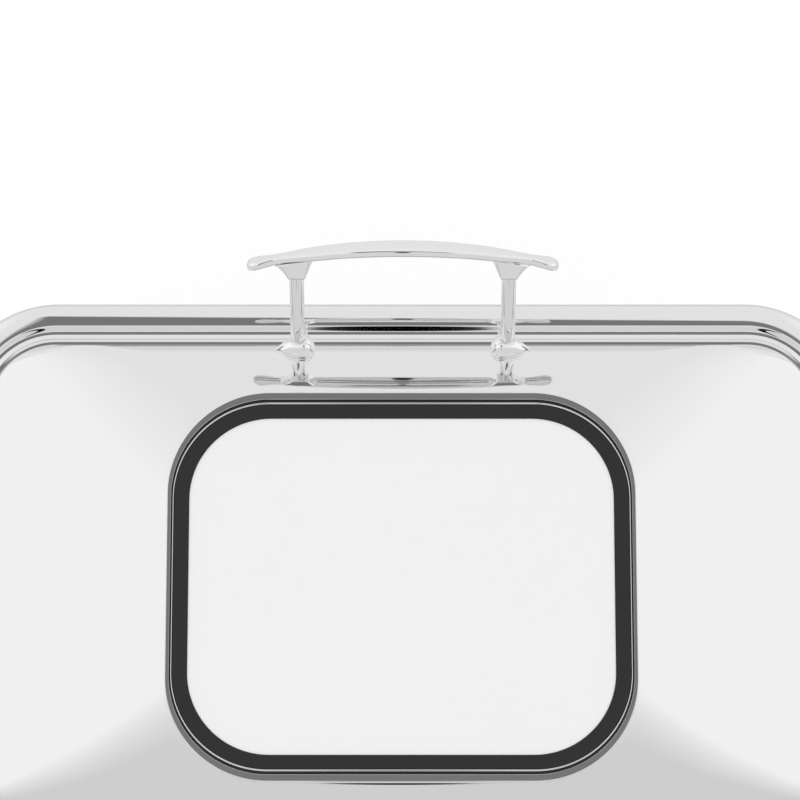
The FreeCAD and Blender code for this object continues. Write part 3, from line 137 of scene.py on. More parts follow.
class Finish:
    """The node tree of a material or of the world."""

    def __init__(self, owner):
        owner.use_nodes = True
        self.tree = owner.node_tree
        self.tree.nodes.clear()

    def node(self, kind, settings=None, sockets=None, output=0):
        """Adds a node: settings first, then a number, a colour or a Value for each socket named."""
        made = self.tree.nodes.new(kind)
        for name, setting in (settings or {}).items():
            setattr(made, name, setting)
        for name, value in (sockets or {}).items():
            if isinstance(value, Value):
                self.tree.links.new(value.socket, made.inputs[name])
            else:
                made.inputs[name].default_value = value
        return Value(self, made.outputs[output]) if made.outputs else None

    def part(self, vector, axis):
        """The X, Y or Z of a vector."""
        return self.node("ShaderNodeSeparateXYZ", None, {0: vector}, output=axis)

    def noise(self, along, detail=2.0, roughness=0.5):
        """A noise from 0 to 1 in the piece's own metres, with so many waves per metre along each axis."""
        where = self.node("ShaderNodeTexCoord", output="Object")
        stretched = self.node("ShaderNodeVectorMath", {"operation": "MULTIPLY"}, {0: where, 1: along})
        sockets = {"Vector": stretched, "Scale": 1.0, "Detail": detail, "Roughness": roughness}
        return self.node("ShaderNodeTexNoise", None, sockets)

    def between(self, share, low, high):
        """A colour that goes from low to high with share."""
        sockets = {0: share, 6: (*low, 1.0), 7: (*high, 1.0)}
        return self.node("ShaderNodeMix", {"data_type": "RGBA"}, sockets, output=2)

    def bump(self, height, depth, normal=None):
        """Turns a height from 0 to 1 into a tilt of the surface, depth metres deep."""
        sockets = {"Height": height, "Distance": depth, "Strength": 1.0}
        if normal is not None:
            sockets["Normal"] = normal
        return self.node("ShaderNodeBump", None, sockets)

    def close(self, shader, output="ShaderNodeOutputMaterial"):
        """Sends the finished shader to the material's or the world's output."""
        self.node(output, None, {"Surface": shader})


print("shader helpers ready")

# %% [markdown]
# The studio round the dish
#
# A mirror has no colour of its own: it shows the room. Level steel mirrors a place twelve degrees past
# straight up, on the handle's side, and there the studio has a dark panel: it makes the flat land of the
# rim and of the window ring the same even grey. The panel hangs a little askew, so its far edge shows
# further along on one side of the picture. Steel that leans away from the panel mirrors a light tent,
# which is brighter towards the two ends and a little darker on the hinge side. The camera itself, black,
# shows up as a small lens in the rim's inner slope. Low grey cards stand past the two ends of the dish
# and behind its hinges, and draw the edges of upright steel.
#
# Such a room could be built from panels and lamps. A world shader does the same with no objects: it gets
# the direction that a ray leaves in, and answers with a brightness. Each edge in it is a place and a
# softness, in degrees of tilt or as a part of the direction. The camera's own rays see plain white.

# %% World
TENT = 0.88
HINGE_SIDE = 0.72
END_GAIN = 0.14
FRONT_EDGE = (-2.0, 14.0)
END_EDGE = (0.45, 0.25)
PANEL = 0.205
PANEL_NEAR = (4.0, 2.0)
PANEL_FAR = (27.2, 2.5)
PANEL_END = (0.16, 0.05)
PANEL_SKEW = 55.0
LENS_TILT, LENS_HIGH, LENS_WIDE = -16.0, 15.0, 0.027
LENS_EDGE = (1.0, 0.25)
CARD = 0.30
CARD_FOOT = (-0.02, 0.05)
CARD_HEAD = (0.15, 0.05)
CARD_ENDS = (0.86, 0.05)
CARD_REAR = (0.8, 0.1)

world = bpy.data.worlds.new("studio")
bpy.context.scene.world = world
studio = Finish(world)
direction = studio.node("ShaderNodeTexCoord", output="Generated")
along, toward_hinges, up = (studio.part(direction, axis) for axis in "XYZ")
sideways = abs(along)
angle = studio.node("ShaderNodeMath", {"operation": "ARCTAN2"}, {0: toward_hinges * -1.0, 1: up})
tilt = angle * (180 / math.pi)

front = tilt.past(*FRONT_EDGE)
room = HINGE_SIDE + front * (sideways.past(*END_EDGE) * END_GAIN + (TENT - HINGE_SIDE))
far_edge = (tilt - along * PANEL_SKEW).past(*PANEL_FAR)
panel = tilt.past(*PANEL_NEAR) * (1 - far_edge) * (1 - sideways.past(*PANEL_END))
room = room * (1 - panel) + PANEL * panel
low = up.past(*CARD_FOOT) * (1 - up.past(*CARD_HEAD))
beside = sideways.past(*CARD_ENDS) + toward_hinges.past(*CARD_REAR)
card = studio.node("ShaderNodeClamp", None, {0: beside}) * low
room = room * (1 - card) + CARD * card
from_lens = (sideways / LENS_WIDE) ** 2 + (abs(tilt - LENS_TILT) / LENS_HIGH) ** 2
room = room * from_lens.past(*LENS_EDGE)

seen = studio.node("ShaderNodeLightPath", output="Is Camera Ray")
seen_through = studio.node("ShaderNodeLightPath", output="Is Transmission Ray")
plain = studio.node("ShaderNodeClamp", None, {0: seen + seen_through})
brightness = room * (1 - plain) + plain
sockets = {"Color": brightness, "Strength": 1.0}
light = studio.node("ShaderNodeBackground", None, sockets, output="Background")
studio.close(light, "ShaderNodeOutputWorld")
print("studio brightness", TENT, "with a panel of", PANEL)

# %% [markdown]
# The floor
#
# The picture's ground is paper white. A white floor under soft light still comes out a light grey, so
# what the camera sees of it is mostly a white of its own, with a share of the true shading left in, which
# keeps the dish's shadow. Mirrors see less of that white, and only far from the dish. Near it they see
# the true shading, so that steel darkens where it comes near the floor.

# %% Floor
FLOOR_HALF = 30.0
PAPER = (0.9, 0.9, 0.9, 1.0)
FLOOR_WHITE = 1.06
FLOOR_DROP = 0.1 * MM
OWN_SHARE_CAMERA = 0.84
OWN_SHARE_MIRROR = 0.50
NEAR_DISH, FAR_FROM_DISH = 0.55, 1.05

corners = [(x, y, -FLOOR_DROP) for x, y in ((-1, -1), (1, -1), (1, 1), (-1, 1))]
corners = [(x * FLOOR_HALF, y * FLOOR_HALF, z) for x, y, z in corners]
floor_mesh = bpy.data.meshes.new("floor")
floor_mesh.from_pydata(corners, [], [(0, 1, 2, 3)])
floor = bpy.data.objects.new("floor", floor_mesh)
bpy.context.scene.collection.objects.link(floor)

paper = bpy.data.materials.new("white paper floor")
finish = Finish(paper)
shading = finish.node("ShaderNodeBsdfDiffuse", None, {"Color": PAPER})
glow = finish.node("ShaderNodeEmission", None, {"Color": (1.0, 1.0, 1.0, 1.0), "Strength": FLOOR_WHITE})
camera_ray = finish.node("ShaderNodeLightPath", output="Is Camera Ray")
glossy_ray = finish.node("ShaderNodeLightPath", output="Is Glossy Ray")
clear_ray = finish.node("ShaderNodeLightPath", output="Is Transmission Ray")
where = finish.node("ShaderNodeTexCoord", output="Object")
from_middle = finish.node("ShaderNodeVectorMath", {"operation": "LENGTH"}, {0: where}, output=1)
away = from_middle.past((NEAR_DISH + FAR_FROM_DISH) / 2, FAR_FROM_DISH - NEAR_DISH)
own_share = (camera_ray + clear_ray) * OWN_SHARE_CAMERA + glossy_ray * away * OWN_SHARE_MIRROR
own_share = finish.node("ShaderNodeClamp", None, {0: own_share})
finish.close(finish.node("ShaderNodeMixShader", None, {0: own_share, 1: shading, 2: glow}))
floor_mesh.materials.append(paper)
print("floor", 2 * FLOOR_HALF, "m wide")

# %% [markdown]
# Mirror polish on stainless sheet
#
# The lid, the rim, the ring and the handle are buffed to a mirror. Under a lens that mirror is not
# perfect: the buffing wheel leaves hair-fine lines along its path, the drawn sheet keeps a faint swell
# that bends long reflections, and handling leaves a thin haze. All of that is slope and roughness, not
# colour, so the base colour stays one light grey. The slopes are tiny, because a mirror doubles every
# tilt: a height of a micrometre over a wave of some millimetres.
#
# The handle's grip, yokes and feet are castings with a bright plating, a shade lighter than the sheet.

# %% Mirror polish
STEEL = (0.86, 0.862, 0.866)
PLATING = (0.91, 0.911, 0.914)
SWELL = (16.0, 16.0, 16.0)
SWELL_DEPTH = 1.6e-5
LINE_DEPTH = 0.9e-6
CLOUDS = (9.0, 9.0, 9.0)
HAZE = 0.035
SMOOTHEST = 0.012
DRIFT = (3.0, 3.0, 3.0)
ONE_SHADE = 0.985


def darker(tone):
    """The same colour one small shade down."""
    return tuple(ONE_SHADE * part for part in tone)


def metal(name, tone, roughness, normal):
    """A metal whose tone, roughness and tilt come from nodes."""
    material = bpy.data.materials.new(name)
    finish = Finish(material)
    sockets = {
        "Base Color": tone(finish),
        "Metallic": 1.0,
        "Roughness": roughness(finish),
        "Normal": normal(finish),
    }
    finish.close(finish.node("ShaderNodeBsdfPrincipled", None, sockets))
    return material


def mirror_polish(name, waves, base=STEEL):
    """Buffed steel, with its buffing lines along the axis that has few waves per metre."""

    def roughness(finish):
        return finish.noise(CLOUDS, 4.0) * HAZE + finish.noise(waves, 3.0) * HAZE * 0.6 + SMOOTHEST

    def normal(finish):
        lines = finish.bump(finish.noise(waves, 4.0, 0.6), LINE_DEPTH)
        return finish.bump(finish.noise(SWELL, 1.0), SWELL_DEPTH, lines)

    def tone(finish):
        return finish.between(finish.noise(DRIFT, 3.0), base, darker(base))

    return metal(name, tone, roughness, normal)


mirror = mirror_polish("mirror polish along the dish", (14.0, 900.0, 900.0))
mirror_upright = mirror_polish("mirror polish along uprights", (900.0, 900.0, 14.0))
plated = mirror_polish("bright plating on castings", (14.0, 900.0, 900.0), PLATING)
print("mirror polish made")

# %% [markdown]
# Brushed steel inside and below
#
# The food pan, the burner shelf, the clamp ring and the lid's inner face are not buffed: they keep the
# satin of the rolled sheet, fine lines that all run one way and spread a reflection across them. The fuel
# cups and their covers have a turned finish, a shade darker and a little coarser.

# %% Brushed steel
def brushed_steel(name, waves, tone_low=(0.60, 0.60, 0.605), tone_high=(0.70, 0.70, 0.70)):
    """Satin sheet with its grain along the axis that has few waves per metre."""

    def roughness(finish):
        return finish.noise(waves, 4.0, 0.7) * 0.16 + finish.noise((12.0, 12.0, 12.0), 3.0) * 0.08 + 0.16

    def normal(finish):
        return finish.bump(finish.noise(waves, 5.0, 0.7), 6.0e-6)

    def tone(finish):
        return finish.between(finish.noise(waves, 3.0, 0.6), tone_low, tone_high)

    return metal(name, tone, roughness, normal)


brushed = brushed_steel("brushed steel along the dish", (10.0, 1200.0, 1200.0))
turned = brushed_steel("turned steel", (500.0, 500.0, 60.0), (0.55, 0.55, 0.56), (0.66, 0.66, 0.66))
print("brushed steel made")

# %% [markdown]
# Rubber, silicone and moulded black
#
# The gasket and the foot pads are black rubber: dull, a little grey where the mould was worn, with a fine
# skin. The lid's buttons are clear silicone. The cover knobs are moulded in black resin, harder and
# shinier than rubber, and the hinges' friction discs are pressed from a brown fibre.

# %% Rubber, silicone, resin
def moulded(name, low, high, roughness, grain, depth, **constants):
    """A moulded piece: its tone drifts from low to high, and grain waves per metre give its skin."""
    material = bpy.data.materials.new(name)
    finish = Finish(material)
    drift = finish.noise((22.0, 22.0, 22.0), 4.0, 0.6)
    skin = finish.noise((grain, grain, grain), 3.0, 0.6)
    sockets = {
        "Base Color": finish.between(drift, low, high),
        "Roughness": skin * 0.18 + drift * 0.10 + roughness,
        "Normal": finish.bump(skin, depth),
    }
    sockets.update({socket.replace("_", " "): value for socket, value in constants.items()})
    finish.close(finish.node("ShaderNodeBsdfPrincipled", None, sockets))
    return material


rubber = moulded("black rubber", (0.020, 0.020, 0.021), (0.029, 0.029, 0.030), 0.40, 1600.0, 1.2e-5,
                 Specular_IOR_Level=0.30)
silicone = moulded("clear silicone", (0.80, 0.81, 0.82), (0.88, 0.88, 0.88), 0.22, 900.0, 0.8e-5,
                   Transmission_Weight=0.6)
resin = moulded("black resin", (0.012, 0.012, 0.013), (0.022, 0.022, 0.023), 0.16, 2600.0, 0.5e-5,
                Coat_Weight=0.3)
fibre = moulded("friction fibre", (0.055, 0.040, 0.030), (0.13, 0.095, 0.07), 0.70, 2400.0, 3.0e-5)
print("moulded finishes made")

# %% [markdown]
# Bronze and fastener steel
#
# The hinges turn in bronze bushes, and screws and nuts are plain stainless steel. Small parts like these
# are turned or pressed and not polished, so their light breaks up over a fine skin with a little wear.
# The two finishes share that skin and that wear, and differ in tone alone.

# %% Bronze and fasteners
def bronze_tone(finish):
    """Warm bronze with small darker patches."""
    return finish.between(finish.noise((260.0, 260.0, 260.0), 3.0), (0.42, 0.24, 0.10), (0.58, 0.37, 0.17))


def soft_wear(finish):
    """A satin roughness that comes and goes."""
    return finish.noise((300.0, 300.0, 300.0), 3.0) * 0.22 + 0.24


def fine_skin(finish):
    """The fine marks of turning and pressing."""
    return finish.bump(finish.noise((1500.0, 1500.0, 1500.0), 3.0), 4.0e-6)


def fastener_tone(finish):
    """Plain stainless grey."""
    return finish.between(finish.noise((90.0, 90.0, 90.0), 3.0), (0.62, 0.62, 0.63), (0.72, 0.72, 0.72))


bronze = metal("bush bronze", bronze_tone, soft_wear, fine_skin)
fastener = metal("fastener steel", fastener_tone, soft_wear, fine_skin)
print("bronze and fastener steel made")

# %% [markdown]
# The window pane
#
# The pane is toughened glass, three millimetres thick, and in the picture it shows nothing of the inside:
# it is one even, very light grey. So it is made as a white pane with a clear gloss, which lets a little
# light through. Its white and a painted glow, light that it gives off though it is no lamp, stand in for
# the light that comes through clear glass.

# %% Glass
# painted light: the pane's white stands in for the bright light seen through clear glass
PANE_PAINTED_WHITE = (0.93, 0.935, 0.93)

glass = bpy.data.materials.new("window glass with painted glow")
finish = Finish(glass)
smear = finish.noise((7.0, 11.0, 7.0), 4.0)
sockets = {
    "Base Color": finish.between(smear, PANE_PAINTED_WHITE, darker(PANE_PAINTED_WHITE)),
    "Roughness": smear * 0.05 + 0.01,
    "Normal": finish.bump(finish.noise((6.0, 6.0, 6.0), 1.0), 1.0e-5),
    "Transmission Weight": 0.06,
    # painted glow: the pane gives off light of its own though it is no lamp
    "Emission Color": finish.between(smear, (1.0, 1.0, 1.0), (0.97, 0.975, 0.97)),
    "Emission Strength": 0.165,
    "IOR": 1.5,
}
finish.close(finish.node("ShaderNodeBsdfPrincipled", None, sockets))
print("pane made")

# %% [markdown]
# Drawing sheet metal by its slope
#
# What a mirror shows depends on its slope alone, so the sheet pieces are drawn by slope. A side view is a
# chain of legs, each with a length and the slope at its two ends: a straight leg has one slope, a bend
# goes from one to the other. Legs that share their slopes meet without a crease. A bend has a point every
# three degrees, and at least every three millimetres, so what it mirrors stays smooth. Straight legs get
# an extra point near each end, so that the shading of a bend doesn't leak over the flat beside it.

# %% Side views
BEND = 3.0
STRIP = 3.0
NEAR = 0.1
NEAR_OF_LEG = 0.2


def side_view(start, legs):
    """Points (out, up, slope) along legs of (length, first slope, last slope), in mm and degrees."""
    out, up = start
    points = [(out, up, legs[0][1])]
    for length, first, last in legs:
        if first == last:
            near = min(NEAR / length, NEAR_OF_LEG)
            marks = [near, 1 - near, 1.0]
        else:
            steps = max(2, math.ceil(abs(last - first) / BEND), math.ceil(length / STRIP))
            marks = [(step + 1) / steps for step in range(steps)]
        done = 0.0
        for mark in marks:
            middle = math.radians(first + (last - first) * (done + mark) / 2)
            out += (mark - done) * length * math.cos(middle)
            up += (mark - done) * length * math.sin(middle)
            points.append((out, up, first + (last - first) * mark))
            done = mark
    return points


def bend(radius, first, last):
    """A leg that turns with this radius."""
    return radius * math.radians(abs(last - first)), first, last


def hem(points, thickness, steps=6):
    """Closed side view of a sheet: its upper face, a round edge, and its lower face back again."""
    upper = [(out, up) for out, up, slope in points]
    lower = []
    for out, up, slope in reversed(points):
        angle = math.radians(slope)
        lower.append((out + thickness * math.sin(angle), up - thickness * math.cos(angle)))
    out, up, slope = points[-1]
    edge = []
    for step in range(1, steps):
        angle = math.radians(slope)
        turn = math.pi * step / steps
        reach = thickness / 2 * math.sin(turn)
        drop = thickness / 2 * (1 - math.cos(turn))
        edge.append((out + reach * math.cos(angle) + drop * math.sin(angle),
                     up + reach * math.sin(angle) - drop * math.cos(angle)))
    return upper + edge + lower


print("a quarter bend of 10 mm has", len(side_view((0, 0), [bend(10, 0, 90)])), "points")

# %% [markdown]
# Corners, level outlines and skins
#
# The rim, the lid, the ring and the gasket all follow rounded rectangles. A skin joins such level
# outlines, each with the same number of points. Solid profiles are drawn by their corners, each with its
# radius. A corner takes less than half of the shorter side beside it, and the extra points near it stay
# on their own half.

# %% Outlines and skins
CORNER_STEPS = 28
SIDE_MARKS = (0.006, 0.03, 0.12, 0.3, 0.5, 0.7, 0.88, 0.97, 0.994)
CORNER_MOST = 0.49
NEAR_OF_CORNER = 0.3
NEAR_OF_SPARE = 0.8


def rounded(corners, steps=6):
    """Closed line through rounded corners (x, y, radius), with a point near each end of a straight."""
    points = []
    for index, (x, y, radius) in enumerate(corners):
        before, after = corners[index - 1], corners[(index + 1) % len(corners)]
        back = (before[0] - x, before[1] - y)
        forth = (after[0] - x, after[1] - y)
        back_length, forth_length = math.hypot(*back), math.hypot(*forth)
        back = (back[0] / back_length, back[1] / back_length)
        forth = (forth[0] / forth_length, forth[1] / forth_length)
        half = math.acos(max(-1.0, min(1.0, back[0] * forth[0] + back[1] * forth[1]))) / 2
        reach = min(radius / math.tan(half), CORNER_MOST * back_length, CORNER_MOST * forth_length)
        radius = reach * math.tan(half)
        spare = [NEAR_OF_SPARE * (length / 2 - reach) for length in (back_length, forth_length)]
        back_reach, forth_reach = (reach + min(NEAR, NEAR_OF_CORNER * reach, left) for left in spare)
        points.append((x + back[0] * back_reach, y + back[1] * back_reach))
        middle = (back[0] + forth[0], back[1] + forth[1])
        span = math.hypot(*middle)
        aside = radius / math.sin(half) / span
        centre = (x + middle[0] * aside, y + middle[1] * aside)
        first = math.atan2(y + back[1] * reach - centre[1], x + back[0] * reach - centre[0])
        last = math.atan2(y + forth[1] * reach - centre[1], x + forth[0] * reach - centre[0])
        turn = (last - first + math.pi) % (2 * math.pi) - math.pi
        for step in range(steps + 1):
            angle = first + turn * step / steps
            points.append((centre[0] + radius * math.cos(angle), centre[1] + radius * math.sin(angle)))
        points.append((x + forth[0] * forth_reach, y + forth[1] * forth_reach))
    return points


def level(half_x, half_y, corner, up):
    """A level rounded rectangle, from the +X side anticlockwise."""
    points = []
    quarters = ((1, 1), (-1, 1), (-1, -1), (1, -1))
    for quarter, (x, y) in enumerate(quarters):
        centre = (x * (half_x - corner), y * (half_y - corner))
        for step in range(CORNER_STEPS + 1):
            angle = math.pi / 2 * (quarter + step / CORNER_STEPS)
            points.append((centre[0] + corner * math.cos(angle), centre[1] + corner * math.sin(angle), up))
        after_x, after_y = quarters[(quarter + 1) % 4]
        angle = math.pi / 2 * (quarter + 1)
        start = points[-1]
        end = (after_x * (half_x - corner) + corner * math.cos(angle),
               after_y * (half_y - corner) + corner * math.sin(angle))
        for mark in SIDE_MARKS:
            points.append((start[0] + (end[0] - start[0]) * mark, start[1] + (end[1] - start[1]) * mark, up))
    return points


def skin(rings, joined=False):
    """Points and faces that join closed outlines in turn: last to first, or with both ends filled."""
    count = len(rings[0])
    faces = []
    for ring in range(len(rings) if joined else len(rings) - 1):
        low, high = ring * count, (ring + 1) % len(rings) * count
        for step in range(count):
            after = (step + 1) % count
            faces.append((low + step, low + after, high + after, high + step))
    if not joined:
        faces.append(tuple(range(count)))
        faces.append(tuple(range((len(rings) - 1) * count, len(rings) * count)))
    return [point for ring in rings for point in ring], faces


def lathe(profile, sides=64):
    """Rings round the upright axis through (radius, up) points."""
    turns = [2 * math.pi * side / sides for side in range(sides)]
    circle = [(math.cos(turn), math.sin(turn)) for turn in turns]
    return [[(radius * x, radius * y, up) for x, y in circle] for radius, up in profile]


def make(name, shapes, finish, body, slot, *stands_for):
    """A smooth piece in metres from (points, faces) in mm: it rides on a body, for the nodes named."""
    mesh = bpy.data.meshes.new(name)
    points, faces = [], []
    for shape_points, shape_faces in shapes:
        first = len(points)
        points += [tuple(MM * part for part in point) for point in shape_points]
        faces += [tuple(first + corner for corner in face) for face in shape_faces]
    mesh.from_pydata(points, [], faces)
    work = bmesh.new()
    work.from_mesh(mesh)
    bmesh.ops.recalc_face_normals(work, faces=work.faces)
    work.to_mesh(mesh)
    work.free()
    mesh.polygons.foreach_set("use_smooth", [True] * len(mesh.polygons))
    mesh.materials.append(finish)
    piece = bpy.data.objects.new(name, mesh)
    bpy.context.scene.collection.objects.link(piece)
    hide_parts(*stands_for)
    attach(piece, body)
    print(name, "has", len(points), "points")
    return piece


# %% [markdown]
# The water pan
#
# The pan is one deep-drawn sheet. From the middle it runs along the bottom, up the wall, out over the
# ledge that carries the food pan, up to the seat that carries the lid, up a soft rise, over a flat land
# and down a rolled lip. The rise leans inward by up to eighteen degrees, enough to mirror the camera. The
# land leans outward by up to nine and a half, and stays inside the dark panel.

# %% Water pan
SHEET = 1.0
WELL = (253.0, 150.5, 24.0)
LEDGE_UP = 246.0
SEAT_UP = 250.0
WELL_DEEP = 95.0
WELL_BEND = 11.0
SOFT = 1.6
START = -22.0
LEDGE_OUT = 14.0
SEAT_OUT = 26.5
RISE_RADIUS, RISE_SLOPE = 9.06, 18
LAND_RADIUS, LAND_SLOPE = 34.0, -9.5
ROLL_RADIUS, ROLL_SLOPE = 14.6, -30
LIP_RADIUS, LIP_LONG = 11.36, 0.9

well_floor = LEDGE_UP - WELL_DEEP + SHEET
wall = LEDGE_UP - well_floor - WELL_BEND - SOFT
pan_legs = [
    (-START - WELL_BEND, 0, 0),
    bend(WELL_BEND, 0, 90),
    (wall, 90, 90),
    bend(SOFT, 90, 0),
    (LEDGE_OUT - 2 * SOFT, 0, 0),
    bend(SOFT, 0, 90),
    (SEAT_UP - LEDGE_UP - 2 * SOFT, 90, 90),
    bend(SOFT, 90, 0),
    (SEAT_OUT - LEDGE_OUT - SOFT, 0, 0),
    bend(RISE_RADIUS, 0, RISE_SLOPE),
    bend(RISE_RADIUS, RISE_SLOPE, 0),
    bend(LAND_RADIUS, 0, LAND_SLOPE),
    bend(ROLL_RADIUS, LAND_SLOPE, ROLL_SLOPE),
    bend(LIP_RADIUS, ROLL_SLOPE, -90),
    (LIP_LONG, -90, -90),
]
pan_view = side_view((START, well_floor), pan_legs)
pan_rings = [level(*(part + out for part in WELL), up) for out, up in hem(pan_view, SHEET)]
make("water_pan_sheet", [skin(pan_rings)], mirror, "stand", "mirror_steel", "water_pan")
print("rim lip at", round(WELL[1] + max(point[0] for point in pan_view), 2), "mm from the middle")

# %% [markdown]
# The lid
#
# The lid's flange rises inward to a soft crest, dips to a trough and turns up into a steep foot. At the
# front and rear the foot bends over a round shoulder and goes on as a flatter crown up to the window. At
# the sides the same levels lie further in, so the sheet is a long slope there. Each level is one outline
# whose corners grow rounder upward.

# %% Lid
RING = (150.7, 125.985, 66.0)
SEAT = (141.0, 111.785, 55.5)
LID = (279.0, 176.5, 50.0)
LID_UNDER = 251.0
LID_TOP = 295.85
EDGE_IN = 1.5
TROUGH = 7.95
FLANGE_SLOPE, DIP_SLOPE, TROUGH_SLOPE = 14, -6, 1.5
FOOT_SLOPE, SHOULDER_SLOPE, CROWN_SLOPE, CROWN_END = 79, 62, 34, 28.2
SEAT_SLOPE = 14
SHOULDER = 45.0
CROWN = 240.0
SIDE_POWER = 1.3
SEAT_MARKS = (0.02, 0.5, 1.0)
FOOT_CLEAR = 1.0
FOOT_INSIDE = 1.5

flange_legs = [
    bend(0.5, 180, FLANGE_SLOPE),
    (2.75, FLANGE_SLOPE, FLANGE_SLOPE),
    bend(1.0, FLANGE_SLOPE, DIP_SLOPE),
    (1.73, DIP_SLOPE, DIP_SLOPE),
    bend(6.0, DIP_SLOPE, TROUGH_SLOPE),
    (1.06, TROUGH_SLOPE, TROUGH_SLOPE),
    bend(0.35, TROUGH_SLOPE, FOOT_SLOPE),
]
dome_legs = [
    (7.75, FOOT_SLOPE, FOOT_SLOPE),
    bend(19.1, FOOT_SLOPE, SHOULDER_SLOPE),
    bend(SHOULDER, SHOULDER_SLOPE, CROWN_SLOPE),
    bend(CROWN, CROWN_SLOPE, CROWN_END),
    bend(15.1, CROWN_END, SEAT_SLOPE),
    (0.15, SEAT_SLOPE, SEAT_SLOPE),
]
lid_view = side_view((EDGE_IN, LID_UNDER), flange_legs + dome_legs)
top_in, top_up = lid_view[-1][:2]
trough_up = min(up for inset, up, slope in lid_view if TROUGH - 1 < inset < TROUGH)
print("lid crown ends", round(LID[1] - top_in, 2), "mm from the middle,", round(top_up, 2), "mm up")


def lid_level(inset, up):
    """The lid's outline at this height, its front and rear this far inside the flange's edge."""
    if inset <= TROUGH:
        return level(*(part - inset for part in LID), up)
    share = max(0.0, min(1.0, (up - trough_up) / (top_up - trough_up)))
    side = TROUGH + (LID[0] - RING[0] - TROUGH) * share ** SIDE_POWER
    start = LID[2] - TROUGH
    return level(LID[0] - side, LID[1] - inset, start + (RING[2] - start) * share, up)


def lid_inner(inset, up):
    """The same outline one sheet further in and lower."""
    narrow, short = 1 - SHEET / LID[0], 1 - SHEET / LID[1]
    return [(x * narrow, y * short, z - SHEET) for x, y, z in lid_level(inset, up)]


lid_outer = [lid_level(inset, up) for inset, up, slope in lid_view]
for mark in SEAT_MARKS:
    lid_outer.append(level(*(low + (high - low) * mark for low, high in zip(RING, SEAT)), top_up))
lid_back = [[(x, y, z - SHEET) for x, y, z in ring] for ring in reversed(lid_outer[-len(SEAT_MARKS):])]
for inset, up, slope in reversed(lid_view):
    if inset > TROUGH + FOOT_CLEAR:
        lid_back.append(lid_inner(inset, up))
lid_back.append(level(*(part - TROUGH - FOOT_INSIDE for part in LID), LID_UNDER))
lid_skin = skin(lid_outer + lid_back, joined=True)
lid = make("lid_sheet", [lid_skin], mirror, "lid", "mirror_steel", "lid_shell")
lid.data.materials.append(brushed)
per_ring = len(lid_outer[0])
for face in lid.data.polygons:
    if len(lid_outer) <= face.index // per_ring < len(lid_outer) + len(lid_back) - 1:
        face.material_index = 1

# %% [markdown]
# The window's ring and gasket
#
# The trim ring has a flat land, a groove and a bright half-round bead. Its front is nearly twice as wide
# as its sides, so its outlines run from an outer rounded rectangle to an inner one by a share, not by a
# fixed distance. Black rubber shows twice: as a cord at the bottom of the groove, which is painted shade
# that darkens the groove, and as the gasket's broad band round the pane. Each corner of a profile is
# (across, up, radius).

# %% Ring and gasket
WINDOW = (146.3, 117.785, 61.5)
PANE = (136.3, 108.5, 52.5)
RING_WIDE = 8.2
GASKET_WIDE = 9.0
GASKET_UP = 4.8
PANE_UP = 3.8
STUD_X = 83.5
STUD_Y = 121.885
STUD_RADIUS = 1.5
STUD_LONG = 7.0


def part_way(outer, inner, share, up):
    """The level outline at this share of the way from an outer one to an inner one."""
    return level(*(start + (end - start) * share for start, end in zip(outer, inner)), LID_TOP + up)


ring_corners = [
    (0.0, 0.0, 0.1),
    (0.0, 5.4, 0.9),
    (5.0, 5.4, 0.25),
    (5.15, 3.4, 0.3),
    (6.9, 3.4, 0.3),
    (6.9, 5.3, 0.6),
    (RING_WIDE, 5.3, 0.6),
    (RING_WIDE, 0.0, 0.1),
]
ring_rings = [part_way(RING, WINDOW, across / RING_WIDE, up) for across, up in rounded(ring_corners)]
stud_profile = [
    (STUD_RADIUS, LID_TOP + 0.5),
    (STUD_RADIUS, LID_TOP - STUD_LONG + 0.2),
    (STUD_RADIUS - 0.3, LID_TOP - STUD_LONG),
]
stud = lathe(stud_profile, 24)
trim = [skin(ring_rings, joined=True)]
for x in (-STUD_X, 0.0, STUD_X):
    for y in (-STUD_Y, STUD_Y):
        trim.append(skin([[(x + px, y + py, z) for px, py, z in ring] for ring in stud]))
make("window_trim", trim, mirror, "lid", "mirror_steel", "window_trim_ring")

# painted shade: a black rubber cord at the groove's bottom stands in for the groove's shadow
groove_shade_cord_corners = [(5.0, 3.3, 0.3), (5.2, 4.15, 0.4), (6.8, 4.15, 0.4), (6.95, 3.3, 0.3)]
groove_shade_cord_rings = [part_way(RING, WINDOW, across / RING_WIDE, up) for across, up in rounded(groove_shade_cord_corners, 3)]
band_corners = [
    (0.0, 0.0, 0.2),
    (0.0, GASKET_UP, 0.7),
    (GASKET_WIDE, GASKET_UP - 0.25, 0.6),
    (GASKET_WIDE, PANE_UP, 0.15),
    (3.0, PANE_UP, 0.15),
    (3.0, 0.8, 0.15),
    (GASKET_WIDE, 0.8, 0.15),
    (GASKET_WIDE, 0.0, 0.2),
]
band_rings = [part_way(WINDOW, PANE, across / GASKET_WIDE, up) for across, up in rounded(band_corners, 4)]
# the gasket's band, together with the cord of painted shade in the groove
gasket = [skin(groove_shade_cord_rings, joined=True), skin(band_rings, joined=True)]
make("window_rubber_and_groove_shade", gasket, rubber, "lid", "black_rubber", "window_gasket")

# %% [markdown]
# The lift handle
#
# The handle stands square on the lid's front shoulder, at fifty degrees. Its pieces are drawn upright,
# from the point where they stand, and one helper leans them over. The grip is an arched flat bar: widest
# in the middle, narrow outside the posts, and rounded paddles at its ends. Its upper edges are rounder
# than its lower ones, which draws the dark line along its near edge. In the photograph, the handle stands
# a little to one side of the window's middle, and so it does here.

